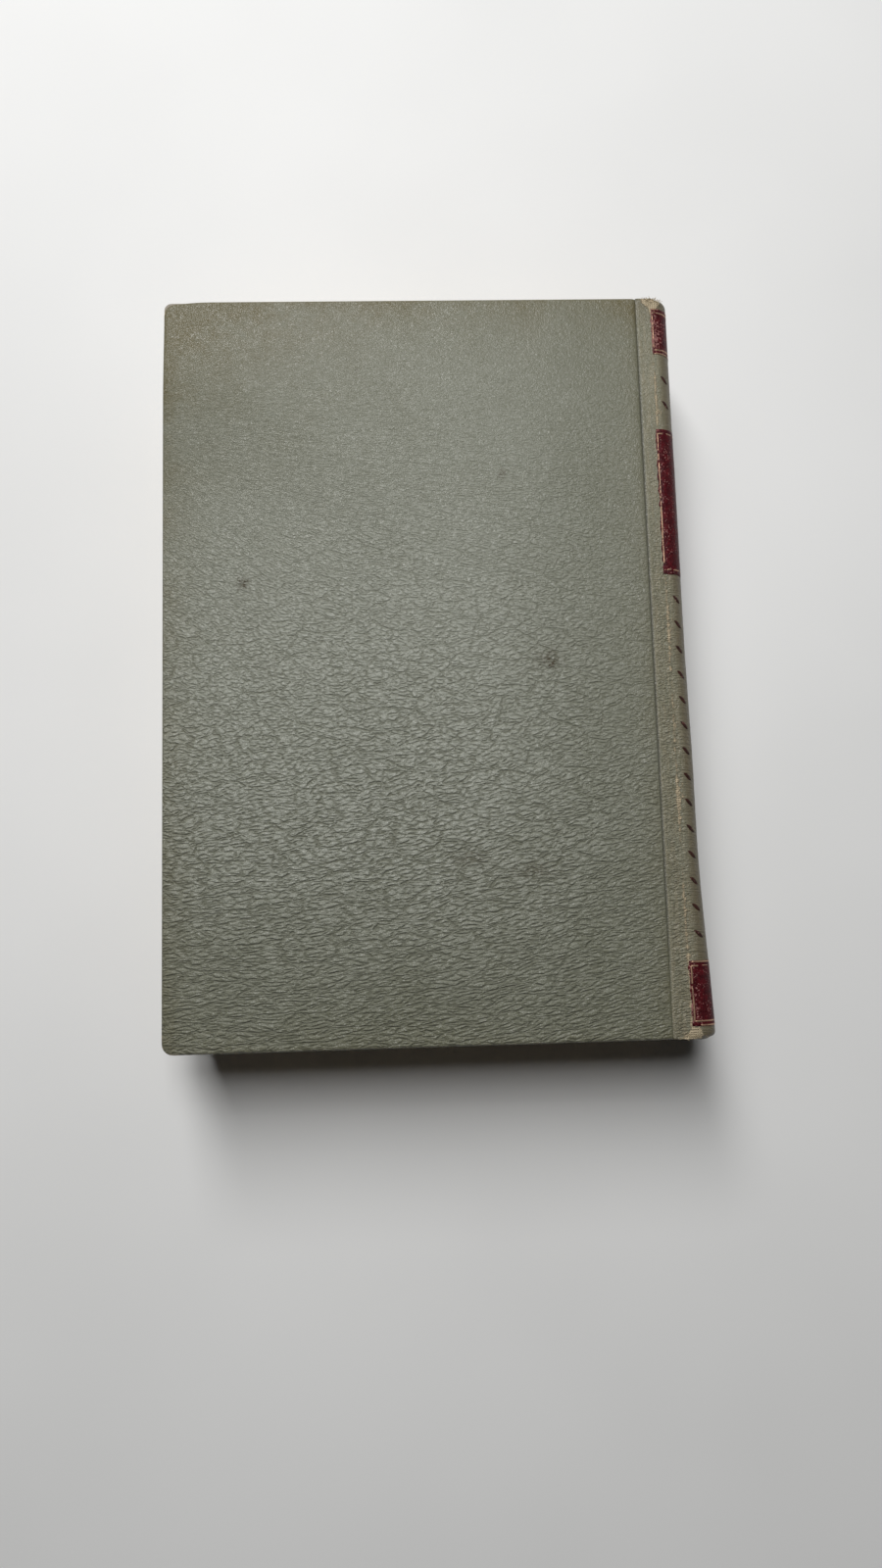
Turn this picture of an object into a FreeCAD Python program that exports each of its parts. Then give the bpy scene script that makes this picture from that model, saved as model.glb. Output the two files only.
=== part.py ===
import FreeCAD, Part
import math
import os

# A sewn, case-bound hardback book with a rounded and backed spine. It lies on its front cover, with
# its spine towards +X and its head towards +Y. The origin is under the middle of the book.

# Driving sizes of the case, in millimetres
COVER_HEIGHT = 210.0         # head to tail over the covering
COVER_WIDTH = 133.9          # fore-edge to the edge of the hinge groove
SPINE_REACH = 12.8           # edge of the hinge groove to the outermost line of the spine
COVERING = 0.45              # leatherette sheet
BOARD = 2.5                  # greyboard of each cover
COVER_CORNER = 2.5           # plan radius of the two fore-edge corners of a cover
EDGE_ROUND = 0.8             # covering turning over the outer edges of a board
INNER_ROUND = 0.3            # covering turning onto the inner face of a board
TURN_IN = 15.0               # width of covering folded onto the inner face
MITRE_GAP = 0.2              # slit between two turn-ins at a corner
MITRE_INSET = 2.0            # from the outer corner to the start of that slit
HINGE_GAP = 0.3              # air between a turning piece and the fixed piece beside it

# Driving sizes of the hinge groove and the spine
GROOVE_FLOOR = 1.2           # flat width at the bottom of the groove
GROOVE_DEPTH = 1.4           # below the outer face of the cover
GROOVE_ROUND = 1.2           # both bends between the groove and the shoulder
SHOULDER_DROP = 0.4          # shoulder below the outer face of the cover
SPINE_CORNER = 5.0           # radius where the shoulder turns into the spine
SPINE_LEAN = 12.0            # degrees from upright where the spine meets that corner
INLAY = 0.9                  # card that stiffens the spine of the case
HOLLOW = 0.8                 # air between that card and the back of the text block
CAP_TURN_IN = 12.0           # covering folded inside at the head and tail of the spine

# Driving sizes of the text block
SECTION_COUNT = 18           # folded and sewn sections
SECTION = 1.69               # thickness of one section
HINGED_SECTIONS = 3          # sections on each side whose leaves turn with the cover
HEAD_SQUARE = 3.0            # cover standing past the leaves at head and tail
FORE_SQUARE = 4.0            # cover standing past the leaves at the fore-edge
ENDPAPER = 0.15              # pastedown and flyleaf
PASTEDOWN_MARGIN = 5.0       # turn-in left showing round the pastedown
PAPER_GAP = 0.05             # air on each side of a flyleaf
SHOULDER_GAP = 0.1           # air between the outermost fold and the covering
SHOULDER_RUN = 3.6           # length over which the outer folds bend out
FOLD_GAP = 0.05              # glue film between neighbouring folds of the shoulder

# Driving sizes of the spine layers
LINING = 0.25                # paper lining
MULL = 0.3                   # open cloth glued over the folds
MULL_MARGIN = 4.0            # mull stops short of the turn-ins by this much
FLANGE_WIDTH = 25.0          # mull glued to the inner face of a board
THREAD = 0.4                 # flattened sewing thread
THREAD_WIDTH = 1.0
THREAD_STATIONS = 5          # rows of stitches along the spine
KETTLE_INSET = 12.0          # outer rows from the head and tail of the leaves
LAYER_GAP = 0.05             # glue film between layers
BAND_RADIUS = 1.0            # bead of a head or tail band
BAND_SET_IN = 0.2            # bead inside the tips of the folds
BAND_CLOTH = 0.3             # cloth that ties the bead to the spine
BAND_TONGUE = 10.0           # length of that cloth down the spine

# Driving sizes of the coloured panels blocked into the spine
PANEL_RECESS = 0.16
PANEL = 0.1
PANEL_LAP = 1.2              # panel carried past the spine corner onto the shoulder
RULE = 0.05                  # foil thickness of a gilt rule
RULE_WIDTH = 0.5
RULE_INSET = 1.2             # rule from the end of its panel
SIDE_RULE_INSET = 0.35       # rule from the side of its panel
HEAD_PANEL_START = 3.1       # from the head of the cover
HEAD_PANEL_HEIGHT = 14.0
TITLE_PANEL_START = 39.6     # from the head of the cover
TITLE_PANEL_HEIGHT = 42.6
TAIL_PANEL_START = 3.3       # from the tail of the cover
TAIL_PANEL_HEIGHT = 17.3

# Limits of the construction
TOLERANCE = 1e-5             # two levels closer than this are the same
FILLET_LIMIT = 0.9           # largest share of a corner's radius that a fillet along it takes

# Levels, measured up from the surface that the book lies on
BLOCK_HALF = SECTION_COUNT * SECTION / 2
CASE_HALF = 2 * PAPER_GAP + 2 * ENDPAPER + 2 * COVERING + BOARD
MIDDLE = BLOCK_HALF + CASE_HALF
TOP = 2 * MIDDLE
BLOCK_TOP = MIDDLE + BLOCK_HALF
BOARD_OUTER = TOP - COVERING
BOARD_INNER = BOARD_OUTER - BOARD
TURN_IN_FACE = BOARD_INNER - COVERING
PASTEDOWN_FACE = TURN_IN_FACE - ENDPAPER
FLYLEAF_BOTTOM = BLOCK_TOP + PAPER_GAP
GROOVE_LEVEL = TOP - GROOVE_DEPTH
SHOULDER_LEVEL = TOP - SHOULDER_DROP
SHOULDER_FOLD_TOP = SHOULDER_LEVEL - COVERING - SHOULDER_GAP

# Stations across the book
BOOK_WIDTH = COVER_WIDTH + SPINE_REACH
FORE_EDGE = -BOOK_WIDTH / 2
COVER_EDGE = FORE_EDGE + COVER_WIDTH
SPINE_LINE = BOOK_WIDTH / 2
BOARD_EDGE = COVER_EDGE - COVERING
GROOVE_END = COVER_EDGE + GROOVE_FLOOR
LEAF_END = COVER_EDGE - HINGE_GAP

# Stations along the book
COVER_HALF = COVER_HEIGHT / 2
LEAF_HALF = COVER_HALF - HEAD_SQUARE
MULL_HALF = COVER_HALF - TURN_IN - MULL_MARGIN

# The outline of the spine is tangent arcs: groove bends, corner and one shallow arc
RISE_ANGLE = math.degrees(math.acos(1 - (GROOVE_DEPTH - SHOULDER_DROP) / (2 * GROOVE_ROUND)))
SHOULDER_START = GROOVE_END + 2 * GROOVE_ROUND * math.sin(math.radians(RISE_ANGLE))
LEAN_SIN = math.sin(math.radians(SPINE_LEAN))
LEAN_COS = math.cos(math.radians(SPINE_LEAN))
CORNER_LEVEL = SHOULDER_LEVEL - SPINE_CORNER
SPINE_RADIUS = (CORNER_LEVEL + SPINE_CORNER * LEAN_SIN - MIDDLE) / LEAN_SIN
SPINE_CENTRE = SPINE_LINE - SPINE_RADIUS
CORNER_CENTRE = SPINE_CENTRE + (SPINE_RADIUS - SPINE_CORNER) * LEAN_COS
PANEL_START = CORNER_CENTRE - PANEL_LAP

# Radii of the layers under the spine, from the case inwards
INLAY_OUTER = SPINE_RADIUS - COVERING
INLAY_INNER = INLAY_OUTER - INLAY
LINING_OUTER = INLAY_INNER - HOLLOW
LINING_INNER = LINING_OUTER - LINING
MULL_OUTER = LINING_INNER - LAYER_GAP
MULL_INNER = MULL_OUTER - MULL
THREAD_OUTER = MULL_INNER - LAYER_GAP
THREAD_INNER = THREAD_OUTER - THREAD
FOLD_RADIUS = THREAD_INNER - LAYER_GAP


def point(x, z):
    """A point of a cross-section, on the plane through the middle of the book."""
    return FreeCAD.Vector(x, 0, z)


def line(start, end):
    """A straight edge between two points."""
    return Part.LineSegment(start, end).toShape()


def arc(centre_x, centre_z, radius, start, end):
    """An arc of a cross-section between two angles in degrees, counted from +X towards +Z."""
    points = []
    for angle in (start, (start + end) / 2, end):
        turn = math.radians(angle)
        points.append(point(centre_x + radius * math.cos(turn), centre_z + radius * math.sin(turn)))
    return Part.Arc(*points).toShape()


def arc_through(start, middle, end):
    """An arc through three points."""
    return Part.Arc(start, middle, end).toShape()


def ease(start, end):
    """The edges of a smooth step from one level up to another: two arcs, level at both ends."""
    run = end.x - start.x
    rise = end.z - start.z
    if rise < TOLERANCE:
        return [line(start, end)]
    turn = 2 * math.atan(rise / run)
    radius = run / (2 * math.sin(turn))
    angle = math.degrees(turn)
    lower = arc(start.x, start.z + radius, radius, -90, angle - 90)
    upper = arc(end.x, end.z - radius, radius, 90 + angle, 90)
    return [lower, upper]


def along(edges, low, high):
    """A solid with a closed cross-section, running from one station along the book to another."""
    wire = Part.Wire(Part.__sortEdges__(edges))
    solid = Part.Face(wire).extrude(FreeCAD.Vector(0, high - low, 0))
    solid.translate(FreeCAD.Vector(0, low, 0))
    return solid


def block(x_range, y_range, z_range):
    """A rectangular solid between three pairs of limits."""
    corner = FreeCAD.Vector(x_range[0], y_range[0], z_range[0])
    return Part.makeBox(
        x_range[1] - x_range[0], y_range[1] - y_range[0], z_range[1] - z_range[0], corner
    )


def to_front(shape):
    """The same piece on the front-cover side, which mirrors the back-cover side."""
    return shape.mirror(point(0, MIDDLE), FreeCAD.Vector(0, 0, 1))


def fold_reach(level):
    """How far across the book the tips of the folds stand at a level."""
    return SPINE_CENTRE + math.sqrt(FOLD_RADIUS ** 2 - (level - MIDDLE) ** 2)


LEAF_WIDTH = fold_reach(BLOCK_TOP) - (FORE_EDGE + FORE_SQUARE)


def leaf_reach(level):
    """Where the fore-edge of the leaves stands at a level: it hollows as the spine rounds."""
    return fold_reach(level) - LEAF_WIDTH


def section_level(index):
    """The lower face of a section, counted from the front."""
    return MIDDLE - BLOCK_HALF + index * SECTION


def spine_edges(depth, with_groove):
    """The outline of the spine at a depth under its outer face, back side to front side.

    The whole outline starts on the floor of the groove, the short one where the panels begin.
    """
    back = []
    shoulder = SHOULDER_LEVEL - depth
    flat_start = PANEL_START
    if with_groove:
        flat_start = SHOULDER_START
        floor = GROOVE_LEVEL - depth
        back.append(line(point(COVER_EDGE + HINGE_GAP, floor), point(GROOVE_END, floor)))
        above = GROOVE_LEVEL + GROOVE_ROUND
        below = SHOULDER_LEVEL - GROOVE_ROUND
        back.append(arc(GROOVE_END, above, GROOVE_ROUND + depth, -90, RISE_ANGLE - 90))
        back.append(arc(SHOULDER_START, below, GROOVE_ROUND - depth, 90 + RISE_ANGLE, 90))
    back.append(line(point(flat_start, shoulder), point(CORNER_CENTRE, shoulder)))
    back.append(arc(CORNER_CENTRE, CORNER_LEVEL, SPINE_CORNER - depth, 90, SPINE_LEAN))
    back.append(arc(SPINE_CENTRE, MIDDLE, SPINE_RADIUS - depth, SPINE_LEAN, 0))
    return back + [to_front(edge) for edge in back]


def spine_wall(outer_depth, inner_depth, with_groove, low, high):
    """A sheet that follows the outline of the spine between two depths."""
    start_x = COVER_EDGE + HINGE_GAP if with_groove else PANEL_START
    start_z = GROOVE_LEVEL if with_groove else SHOULDER_LEVEL
    end = line(point(start_x, start_z - outer_depth), point(start_x, start_z - inner_depth))
    edges = spine_edges(outer_depth, with_groove) + spine_edges(inner_depth, with_groove)
    return along(edges + [end, to_front(end)], low, high)


def spine_layer(inner, outer, half_angle, low, high):
    """A sheet bent round the centre of the spine arc, between two radii."""
    turn = math.radians(half_angle)
    ends = []
    for side in (1, -1):
        across = math.cos(turn)
        up = side * math.sin(turn)
        ends.append(
            line(
                point(SPINE_CENTRE + inner * across, MIDDLE + inner * up),
                point(SPINE_CENTRE + outer * across, MIDDLE + outer * up),
            )
        )
    arcs = [arc(SPINE_CENTRE, MIDDLE, radius, half_angle, -half_angle) for radius in (inner, outer)]
    return along(arcs + ends, low, high)


def fold_angle(radius, level):
    """The half angle at which a layer of a given radius reaches a level."""
    return math.degrees(math.asin((level - MIDDLE) / radius))


def cover_slab(inset, corner, z_range):
    """A cover-shaped slab with rounded fore-edge corners, inset from the covering's outline."""
    left = FORE_EDGE + inset
    half = COVER_HALF - inset
    slab = block((left, COVER_EDGE - inset), (-half, half), z_range)
    uprights = []
    for edge in slab.Edges:
        reach = edge.BoundBox
        if reach.ZLength > TOLERANCE and abs(reach.XMax - left) < TOLERANCE:
            uprights.append(edge)
    return slab.makeFillet(corner, uprights)


def rim(slab, level):
    """The edges of a slab's face at a level."""
    edges = []
    for edge in slab.Edges:
        reach = edge.BoundBox
        if max(abs(reach.ZMin - level), abs(reach.ZMax - level)) < TOLERANCE:
            edges.append(edge)
    return edges


def make_board():
    """The greyboard of the back cover."""
    return cover_slab(COVERING, max(COVER_CORNER - COVERING, COVERING), (BOARD_INNER, BOARD_OUTER))


def make_covering(board):
    """The covering of the back cover: outer face, edges, lip into the groove and mitred turn-ins."""
    slab = cover_slab(0, COVER_CORNER, (TURN_IN_FACE, TOP))
    slab = slab.makeFillet(min(EDGE_ROUND, FILLET_LIMIT * COVER_CORNER), rim(slab, TOP))
    inner_rim = [edge for edge in rim(slab, TURN_IN_FACE) if edge.BoundBox.XMin < BOARD_EDGE]
    slab = slab.makeFillet(INNER_ROUND, inner_rim)
    window_half = COVER_HALF - TURN_IN
    turn_in = (TURN_IN_FACE, BOARD_INNER)
    window = block((FORE_EDGE + TURN_IN, COVER_EDGE), (-window_half, window_half), turn_in)
    below_lip = block((BOARD_EDGE, COVER_EDGE), (-COVER_HALF, COVER_HALF), (TURN_IN_FACE, GROOVE_LEVEL))
    cuts = [board, window, below_lip]
    slit_end = TURN_IN * math.sqrt(2) + MITRE_GAP
    for side in (1, -1):
        slit = block((MITRE_INSET, slit_end), (-MITRE_GAP / 2, MITRE_GAP / 2), (0, COVERING))
        slit.rotate(FreeCAD.Vector(0, 0, 0), FreeCAD.Vector(0, 0, 1), -45 * side)
        slit.translate(FreeCAD.Vector(FORE_EDGE, side * COVER_HALF, TURN_IN_FACE))
        cuts.append(slit)
    return slab.cut(cuts)


def make_flange():
    """The strip of mull glued to the inner face of the back board."""
    across = (BOARD_EDGE - FLANGE_WIDTH, BOARD_EDGE)
    return block(across, (-MULL_HALF, MULL_HALF), (BOARD_INNER - MULL, BOARD_INNER))


def make_pastedown():
    """The pasted endpaper: it lies over the turn-ins and flange, and steps down to the bare board."""
    half = COVER_HALF - PASTEDOWN_MARGIN
    sheet = block((FORE_EDGE + PASTEDOWN_MARGIN, BOARD_EDGE), (-half, half), (PASTEDOWN_FACE, TURN_IN_FACE))
    tray_half = COVER_HALF - TURN_IN
    tray_x = (FORE_EDGE + TURN_IN, BOARD_EDGE - FLANGE_WIDTH)
    tray = block(tray_x, (-tray_half, tray_half), (PASTEDOWN_FACE, BOARD_INNER))
    hollow = block(
        (tray_x[0] + ENDPAPER, tray_x[1] - ENDPAPER),
        (ENDPAPER - tray_half, tray_half - ENDPAPER),
        (PASTEDOWN_FACE, BOARD_INNER - ENDPAPER),
    )
    return sheet.fuse(tray).cut(hollow).removeSplitter()


def make_flyleaf():
    """The free endpaper inside the back cover."""
    left = leaf_reach(BLOCK_TOP)
    return block((left, LEAF_END), (-LEAF_HALF, LEAF_HALF), (FLYLEAF_BOTTOM, FLYLEAF_BOTTOM + ENDPAPER))


def make_leaves(index):
    """The leaves of an outer section, which part from its fold along the gutter."""
    low = section_level(index)
    high = low + SECTION
    corners = [point(leaf_reach(low), low), point(LEAF_END, low), point(LEAF_END, high)]
    corners += [point(leaf_reach(high), high), corners[0]]
    edges = [line(start, end) for start, end in zip(corners, corners[1:])]
    return along(edges, -LEAF_HALF, LEAF_HALF)


def make_section(index):
    """A whole section: flat leaves, slanting fore-edge and a half-round fold at the spine."""
    low = section_level(index)
    high = low + SECTION
    tip = fold_reach(low + SECTION / 2)
    fold_low = point(tip - SECTION / 2, low)
    fold_high = point(tip - SECTION / 2, high)
    edges = [
        line(point(leaf_reach(low), low), fold_low),
        arc_through(fold_low, point(tip, low + SECTION / 2), fold_high),
        line(fold_high, point(leaf_reach(high), high)),
        line(point(leaf_reach(high), high), point(leaf_reach(low), low)),
    ]
    return along(edges, -LEAF_HALF, LEAF_HALF)


def make_shoulder():
    """The folds of the outer back sections, swollen by thread and bent out to form the shoulder."""
    swell = (SHOULDER_FOLD_TOP - BLOCK_TOP) / HINGED_SECTIONS
    folds = []
    for step in range(HINGED_SECTIONS):
        low = BLOCK_TOP - (HINGED_SECTIONS - step) * SECTION + FOLD_GAP
        high = low + SECTION - FOLD_GAP
        bent_low = low + step * swell
        bent_high = high + (step + 1) * swell
        half = (bent_high - bent_low) / 2
        tip = fold_reach(bent_low + half)
        fold_low = point(tip - half, bent_low)
        fold_high = point(tip - half, bent_high)
        run_low = point(COVER_EDGE + SHOULDER_RUN, bent_low)
        run_high = point(COVER_EDGE + SHOULDER_RUN, bent_high)
        edges = [
            line(run_low, fold_low),
            arc_through(fold_low, point(tip, bent_low + half), fold_high),
            line(fold_high, run_high),
            line(point(COVER_EDGE, low), point(COVER_EDGE, high)),
        ]
        edges += ease(point(COVER_EDGE, low), run_low)
        edges += ease(point(COVER_EDGE, high), run_high)
        folds.append(along(edges, -LEAF_HALF, LEAF_HALF))
    return Part.makeCompound(folds)


def make_thread():
    """Rows of sewing thread laid across the folds, from shoulder to shoulder."""
    half_angle = fold_angle(THREAD_OUTER, BLOCK_TOP)
    first = KETTLE_INSET - LEAF_HALF
    pitch = 2 * (LEAF_HALF - KETTLE_INSET) / (THREAD_STATIONS - 1)
    rows = []
    for station in range(THREAD_STATIONS):
        low = first + station * pitch - THREAD_WIDTH / 2
        rows.append(spine_layer(THREAD_INNER, THREAD_OUTER, half_angle, low, low + THREAD_WIDTH))
    return Part.makeCompound(rows)


def make_band():
    """The head band: a bead on the ends of the sections, on cloth glued down the spine."""
    half_angle = fold_angle(FOLD_RADIUS, BLOCK_TOP)
    bead_level = LEAF_HALF + LAYER_GAP + BAND_RADIUS
    bead_radius = FOLD_RADIUS - BAND_SET_IN - BAND_RADIUS
    axis_point = point(SPINE_CENTRE, MIDDLE)
    axis = FreeCAD.Vector(0, 1, 0)
    centre = FreeCAD.Vector(SPINE_CENTRE + bead_radius, bead_level, MIDDLE)
    circle = Part.makeCircle(BAND_RADIUS, centre, FreeCAD.Vector(0, 0, 1))
    profile = Part.Face(Part.Wire(circle))
    profile.rotate(axis_point, axis, -half_angle)
    bead = profile.revolve(axis_point, axis, 2 * half_angle)
    cloth_low = bead_level - BAND_CLOTH / 2
    cloth_high = bead_level + BAND_CLOTH / 2
    bridge = spine_layer(bead_radius, MULL_OUTER, half_angle, cloth_low, cloth_high)
    tongue_low = max(LEAF_HALF - BAND_TONGUE, MULL_HALF + LAYER_GAP)
    tongue = spine_layer(MULL_INNER, MULL_OUTER, half_angle, tongue_low, cloth_high)
    return bead.fuse([bridge, tongue])


def panel_ranges():
    """The stretch of the spine that each coloured panel covers."""
    head = COVER_HALF - HEAD_PANEL_START
    title = COVER_HALF - TITLE_PANEL_START
    tail = TAIL_PANEL_START - COVER_HALF
    return {
        "head_panel": (head - HEAD_PANEL_HEIGHT, head),
        "title_panel": (title - TITLE_PANEL_HEIGHT, title),
        "tail_panel": (tail, tail + TAIL_PANEL_HEIGHT),
    }


def make_spine_covering():
    """The covering of the spine: groove, shoulders, rounded back, turned-in caps and panel recesses."""
    shell = spine_wall(0, COVERING, True, -COVER_HALF, COVER_HALF)
    flap_inner = INLAY_INNER - COVERING
    flaps = []
    for side in (1, -1):
        end = side * COVER_HALF
        lip = sorted((end, end - side * COVERING))
        flap = sorted((end, end - side * CAP_TURN_IN))
        flaps.append(spine_layer(flap_inner, INLAY_OUTER, SPINE_LEAN, *lip))
        flaps.append(spine_layer(flap_inner, INLAY_INNER, SPINE_LEAN, *flap))
    shell = shell.fuse(flaps).removeSplitter()
    recesses = [spine_wall(-PANEL_RECESS, PANEL_RECESS, False, *span) for span in panel_ranges().values()]
    return shell.cut(recesses)


def make_inlay():
    """The card in the spine of the case."""
    half = COVER_HALF - COVERING
    return spine_layer(INLAY_INNER, INLAY_OUTER, SPINE_LEAN, -half, half)


def make_rules():
    """The gilt rules of each panel: one near each end, joined by one along each side."""
    inner = PANEL_RECESS - PANEL
    outer = inner - RULE
    across = (PANEL_START + SIDE_RULE_INSET, PANEL_START + SIDE_RULE_INSET + RULE_WIDTH)
    levels = (SHOULDER_LEVEL - inner, SHOULDER_LEVEL - outer)
    rules = []
    for low, high in panel_ranges().values():
        ends = (low + RULE_INSET, high - RULE_INSET - RULE_WIDTH)
        pieces = [spine_wall(outer, inner, False, start, start + RULE_WIDTH) for start in ends]
        side = block(across, (ends[0], ends[1] + RULE_WIDTH), levels)
        pieces += [side, to_front(side)]
        rules.extend(pieces[0].fuse(pieces[1:]).removeSplitter().Solids)
    return Part.makeCompound(rules)


def make_case():
    """Both covers, each with its board, covering, mull flange and endpapers, and the spine."""
    board = make_board()
    back = {
        "board": board,
        "covering": make_covering(board),
        "mull_flange": make_flange(),
        "pastedown": make_pastedown(),
        "flyleaf": make_flyleaf(),
    }
    nodes = {}
    for name, shape in back.items():
        nodes["back_" + name] = shape
        nodes["front_" + name] = to_front(shape)
    nodes["spine_covering"] = make_spine_covering()
    nodes["spine_inlay"] = make_inlay()
    for name, span in panel_ranges().items():
        nodes[name] = spine_wall(PANEL_RECESS - PANEL, PANEL_RECESS, False, *span)
    nodes["gilt_rules"] = make_rules()
    return nodes


def make_block():
    """The text block: sections, shoulders, thread, mull, lining and bands."""
    nodes = {}
    for index in range(SECTION_COUNT):
        outer = index < HINGED_SECTIONS or index >= SECTION_COUNT - HINGED_SECTIONS
        name = f"section_{index + 1:02d}"
        if outer:
            nodes[name + "_leaves"] = make_leaves(index)
        else:
            nodes[name] = make_section(index)
    shoulder = make_shoulder()
    nodes["back_shoulder_folds"] = shoulder
    nodes["front_shoulder_folds"] = to_front(shoulder)
    nodes["sewing_thread"] = make_thread()
    mull_angle = fold_angle(MULL_OUTER, BLOCK_TOP)
    nodes["mull"] = spine_layer(MULL_INNER, MULL_OUTER, mull_angle, -MULL_HALF, MULL_HALF)
    nodes["spine_lining"] = spine_layer(LINING_INNER, LINING_OUTER, mull_angle, -LEAF_HALF, LEAF_HALF)
    band = make_band()
    nodes["head_band"] = band
    nodes["tail_band"] = band.mirror(FreeCAD.Vector(0, 0, 0), FreeCAD.Vector(0, 1, 0))
    return nodes


def main():
    """Builds every piece of the book and writes each to its own file."""
    os.makedirs("parts", exist_ok=True)
    nodes = {**make_case(), **make_block()}
    for name, shape in nodes.items():
        shape.exportStep(f"parts/{name}.step")
        print(name, len(shape.Solids), round(shape.Volume, 2), shape.isValid())


main()
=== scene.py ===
"""Looks of an old hardback book in grey-green leatherette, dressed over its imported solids."""

import logging
import math
import random
from collections.abc import Callable, Iterable
from dataclasses import dataclass
from enum import Enum
from functools import cached_property

import bmesh
import bpy
from bmesh.types import BMEdge, BMesh, BMLayerItem, BMVert
from bpy.types import Material, Node, NodeSocket, NodeTree, Object
from mathutils import Matrix, Vector, noise


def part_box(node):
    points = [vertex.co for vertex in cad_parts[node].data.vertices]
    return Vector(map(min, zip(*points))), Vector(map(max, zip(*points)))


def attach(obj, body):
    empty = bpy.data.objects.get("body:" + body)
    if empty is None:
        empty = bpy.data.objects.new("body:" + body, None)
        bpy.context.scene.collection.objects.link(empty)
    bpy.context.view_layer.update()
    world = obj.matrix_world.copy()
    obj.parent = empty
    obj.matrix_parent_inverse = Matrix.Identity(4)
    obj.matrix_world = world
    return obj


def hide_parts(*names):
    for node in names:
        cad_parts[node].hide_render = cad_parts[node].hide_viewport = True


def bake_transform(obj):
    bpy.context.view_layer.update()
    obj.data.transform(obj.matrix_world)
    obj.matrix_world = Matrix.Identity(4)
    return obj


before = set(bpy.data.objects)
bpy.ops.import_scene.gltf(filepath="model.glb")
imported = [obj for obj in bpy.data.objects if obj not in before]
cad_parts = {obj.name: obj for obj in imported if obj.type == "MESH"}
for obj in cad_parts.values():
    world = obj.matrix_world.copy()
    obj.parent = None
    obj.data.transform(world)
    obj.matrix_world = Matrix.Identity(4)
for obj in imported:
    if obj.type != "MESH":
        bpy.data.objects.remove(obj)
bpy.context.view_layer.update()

LOG = logging.getLogger("book")
MM = 0.001
CLOSE = 1e-6            # points nearer than this are the same
COVERING = 0.45 * MM    # thickness of the leatherette
TURN_IN = 15.0 * MM     # leatherette folded onto the inner face of a board
CURL = 30.0 * MM        # length over which a leaf bends at the gutter
SECTIONS = 18           # sections of leaves
TURNING = 3             # sections on each side whose leaves turn with the cover

Feed = float | tuple[float, ...] | NodeSocket
Pair = tuple[float, float]
Triple = tuple[float, float, float]


def unit(value: float) -> float:
    """A value kept between 0 and 1."""
    return min(1.0, max(0.0, value))


def smooth(low: float, high: float, value: float) -> float:
    """Eases from 0 at low to 1 at high; low may be the larger of the two."""
    part = unit((value - low) / (high - low))
    return part * part * (3.0 - 2.0 * part)


def ease(low: float, high: float, value: float) -> float:
    """The same between two lengths in millimetres."""
    return smooth(low * MM, high * MM, value)


def fade(away: float, reach: float) -> float:
    """Falls from 1 towards 0 over a reach in millimetres."""
    return math.exp(-away / (reach * MM))


def bell(away: float, reach: float) -> float:
    """A round peak of 1, with a reach in millimetres."""
    return math.exp(-(away / (reach * MM)) ** 2)


def ripple(x: float, y: float, size: float, seed: float) -> float:
    """Even noise between -1 and 1, with bumps of a size in millimetres."""
    return noise.noise(Vector((x / (size * MM), y / (size * MM), seed)))


class Side(Enum):
    """The cover that a piece belongs to."""

    BACK = "back"
    FRONT = "front"


@dataclass(frozen=True)
class Book:
    """Main stations and levels of the closed book, in metres.

    Attributes:
        fore_edge: Outer edge of the covers.
        cover_edge: Edge of the covers at the hinge groove.
        spine_line: Outermost line of the spine.
        half_height: Half the height of the covers.
        top: Level of the back cover's face.
        turn_in_face: Level of the leatherette turned in under the back board.
        board_inner: Level of the back board's inner face.
        pastedown_face: Level of the back pastedown over the turn-ins.
        leaf_half: Half the height of the leaves.
        leaf_end: End of the turning leaves at the gutter.
        leaf_width: Width of a leaf from fold to fore-edge.
    """

    fore_edge: float
    cover_edge: float
    spine_line: float
    half_height: float
    top: float
    turn_in_face: float
    board_inner: float
    pastedown_face: float
    leaf_half: float
    leaf_end: float
    leaf_width: float

    @classmethod
    def measure(cls) -> "Book":
        """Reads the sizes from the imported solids."""
        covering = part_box("back_covering")
        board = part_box("back_board")
        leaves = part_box("section_18_leaves")
        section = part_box("section_09")
        return cls(
            fore_edge=covering[0].x,
            cover_edge=board[1].x + COVERING,
            spine_line=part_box("spine_covering")[1].x,
            half_height=covering[1].y,
            top=covering[1].z,
            turn_in_face=covering[0].z,
            board_inner=board[0].z,
            pastedown_face=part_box("back_pastedown")[0].z,
            leaf_half=leaves[1].y,
            leaf_end=leaves[1].x,
            leaf_width=section[1].x - section[0].x,
        )

    @property
    def middle(self) -> float:
        """Level half-way through the book."""
        return self.top / 2.0

    def flip(self) -> Matrix:
        """Mirror that carries a piece of the back half to the front half."""
        return Matrix.Translation((0.0, 0.0, self.top)) @ Matrix.Scale(-1.0, 4, (0.0, 0.0, 1.0))


@dataclass(frozen=True)
class Run:
    """A straight part of the outline, level and heading for the spine."""

    start: Pair
    length: float

    def at(self, along: float) -> tuple[Vector, Vector]:
        """Point and outward normal at a distance along the run."""
        return Vector((self.start[0] + along, 0.0, self.start[1])), Vector((0.0, 0.0, 1.0))


@dataclass(frozen=True)
class Bend:
    """A round part of the outline; a hollow one has its centre outside the book."""

    centre: Pair
    radius: float
    start: float
    sweep: float
    hollow: bool = False

    @property
    def length(self) -> float:
        """Length of the arc."""
        return abs(self.sweep) * self.radius

    def at(self, along: float) -> tuple[Vector, Vector]:
        """Point and outward normal at a distance along the arc."""
        angle = self.start + math.copysign(along / self.radius, self.sweep)
        ray = Vector((math.cos(angle), 0.0, math.sin(angle)))
        centre = Vector((self.centre[0], 0.0, self.centre[1]))
        return centre + ray * self.radius, -ray if self.hollow else ray


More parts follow.
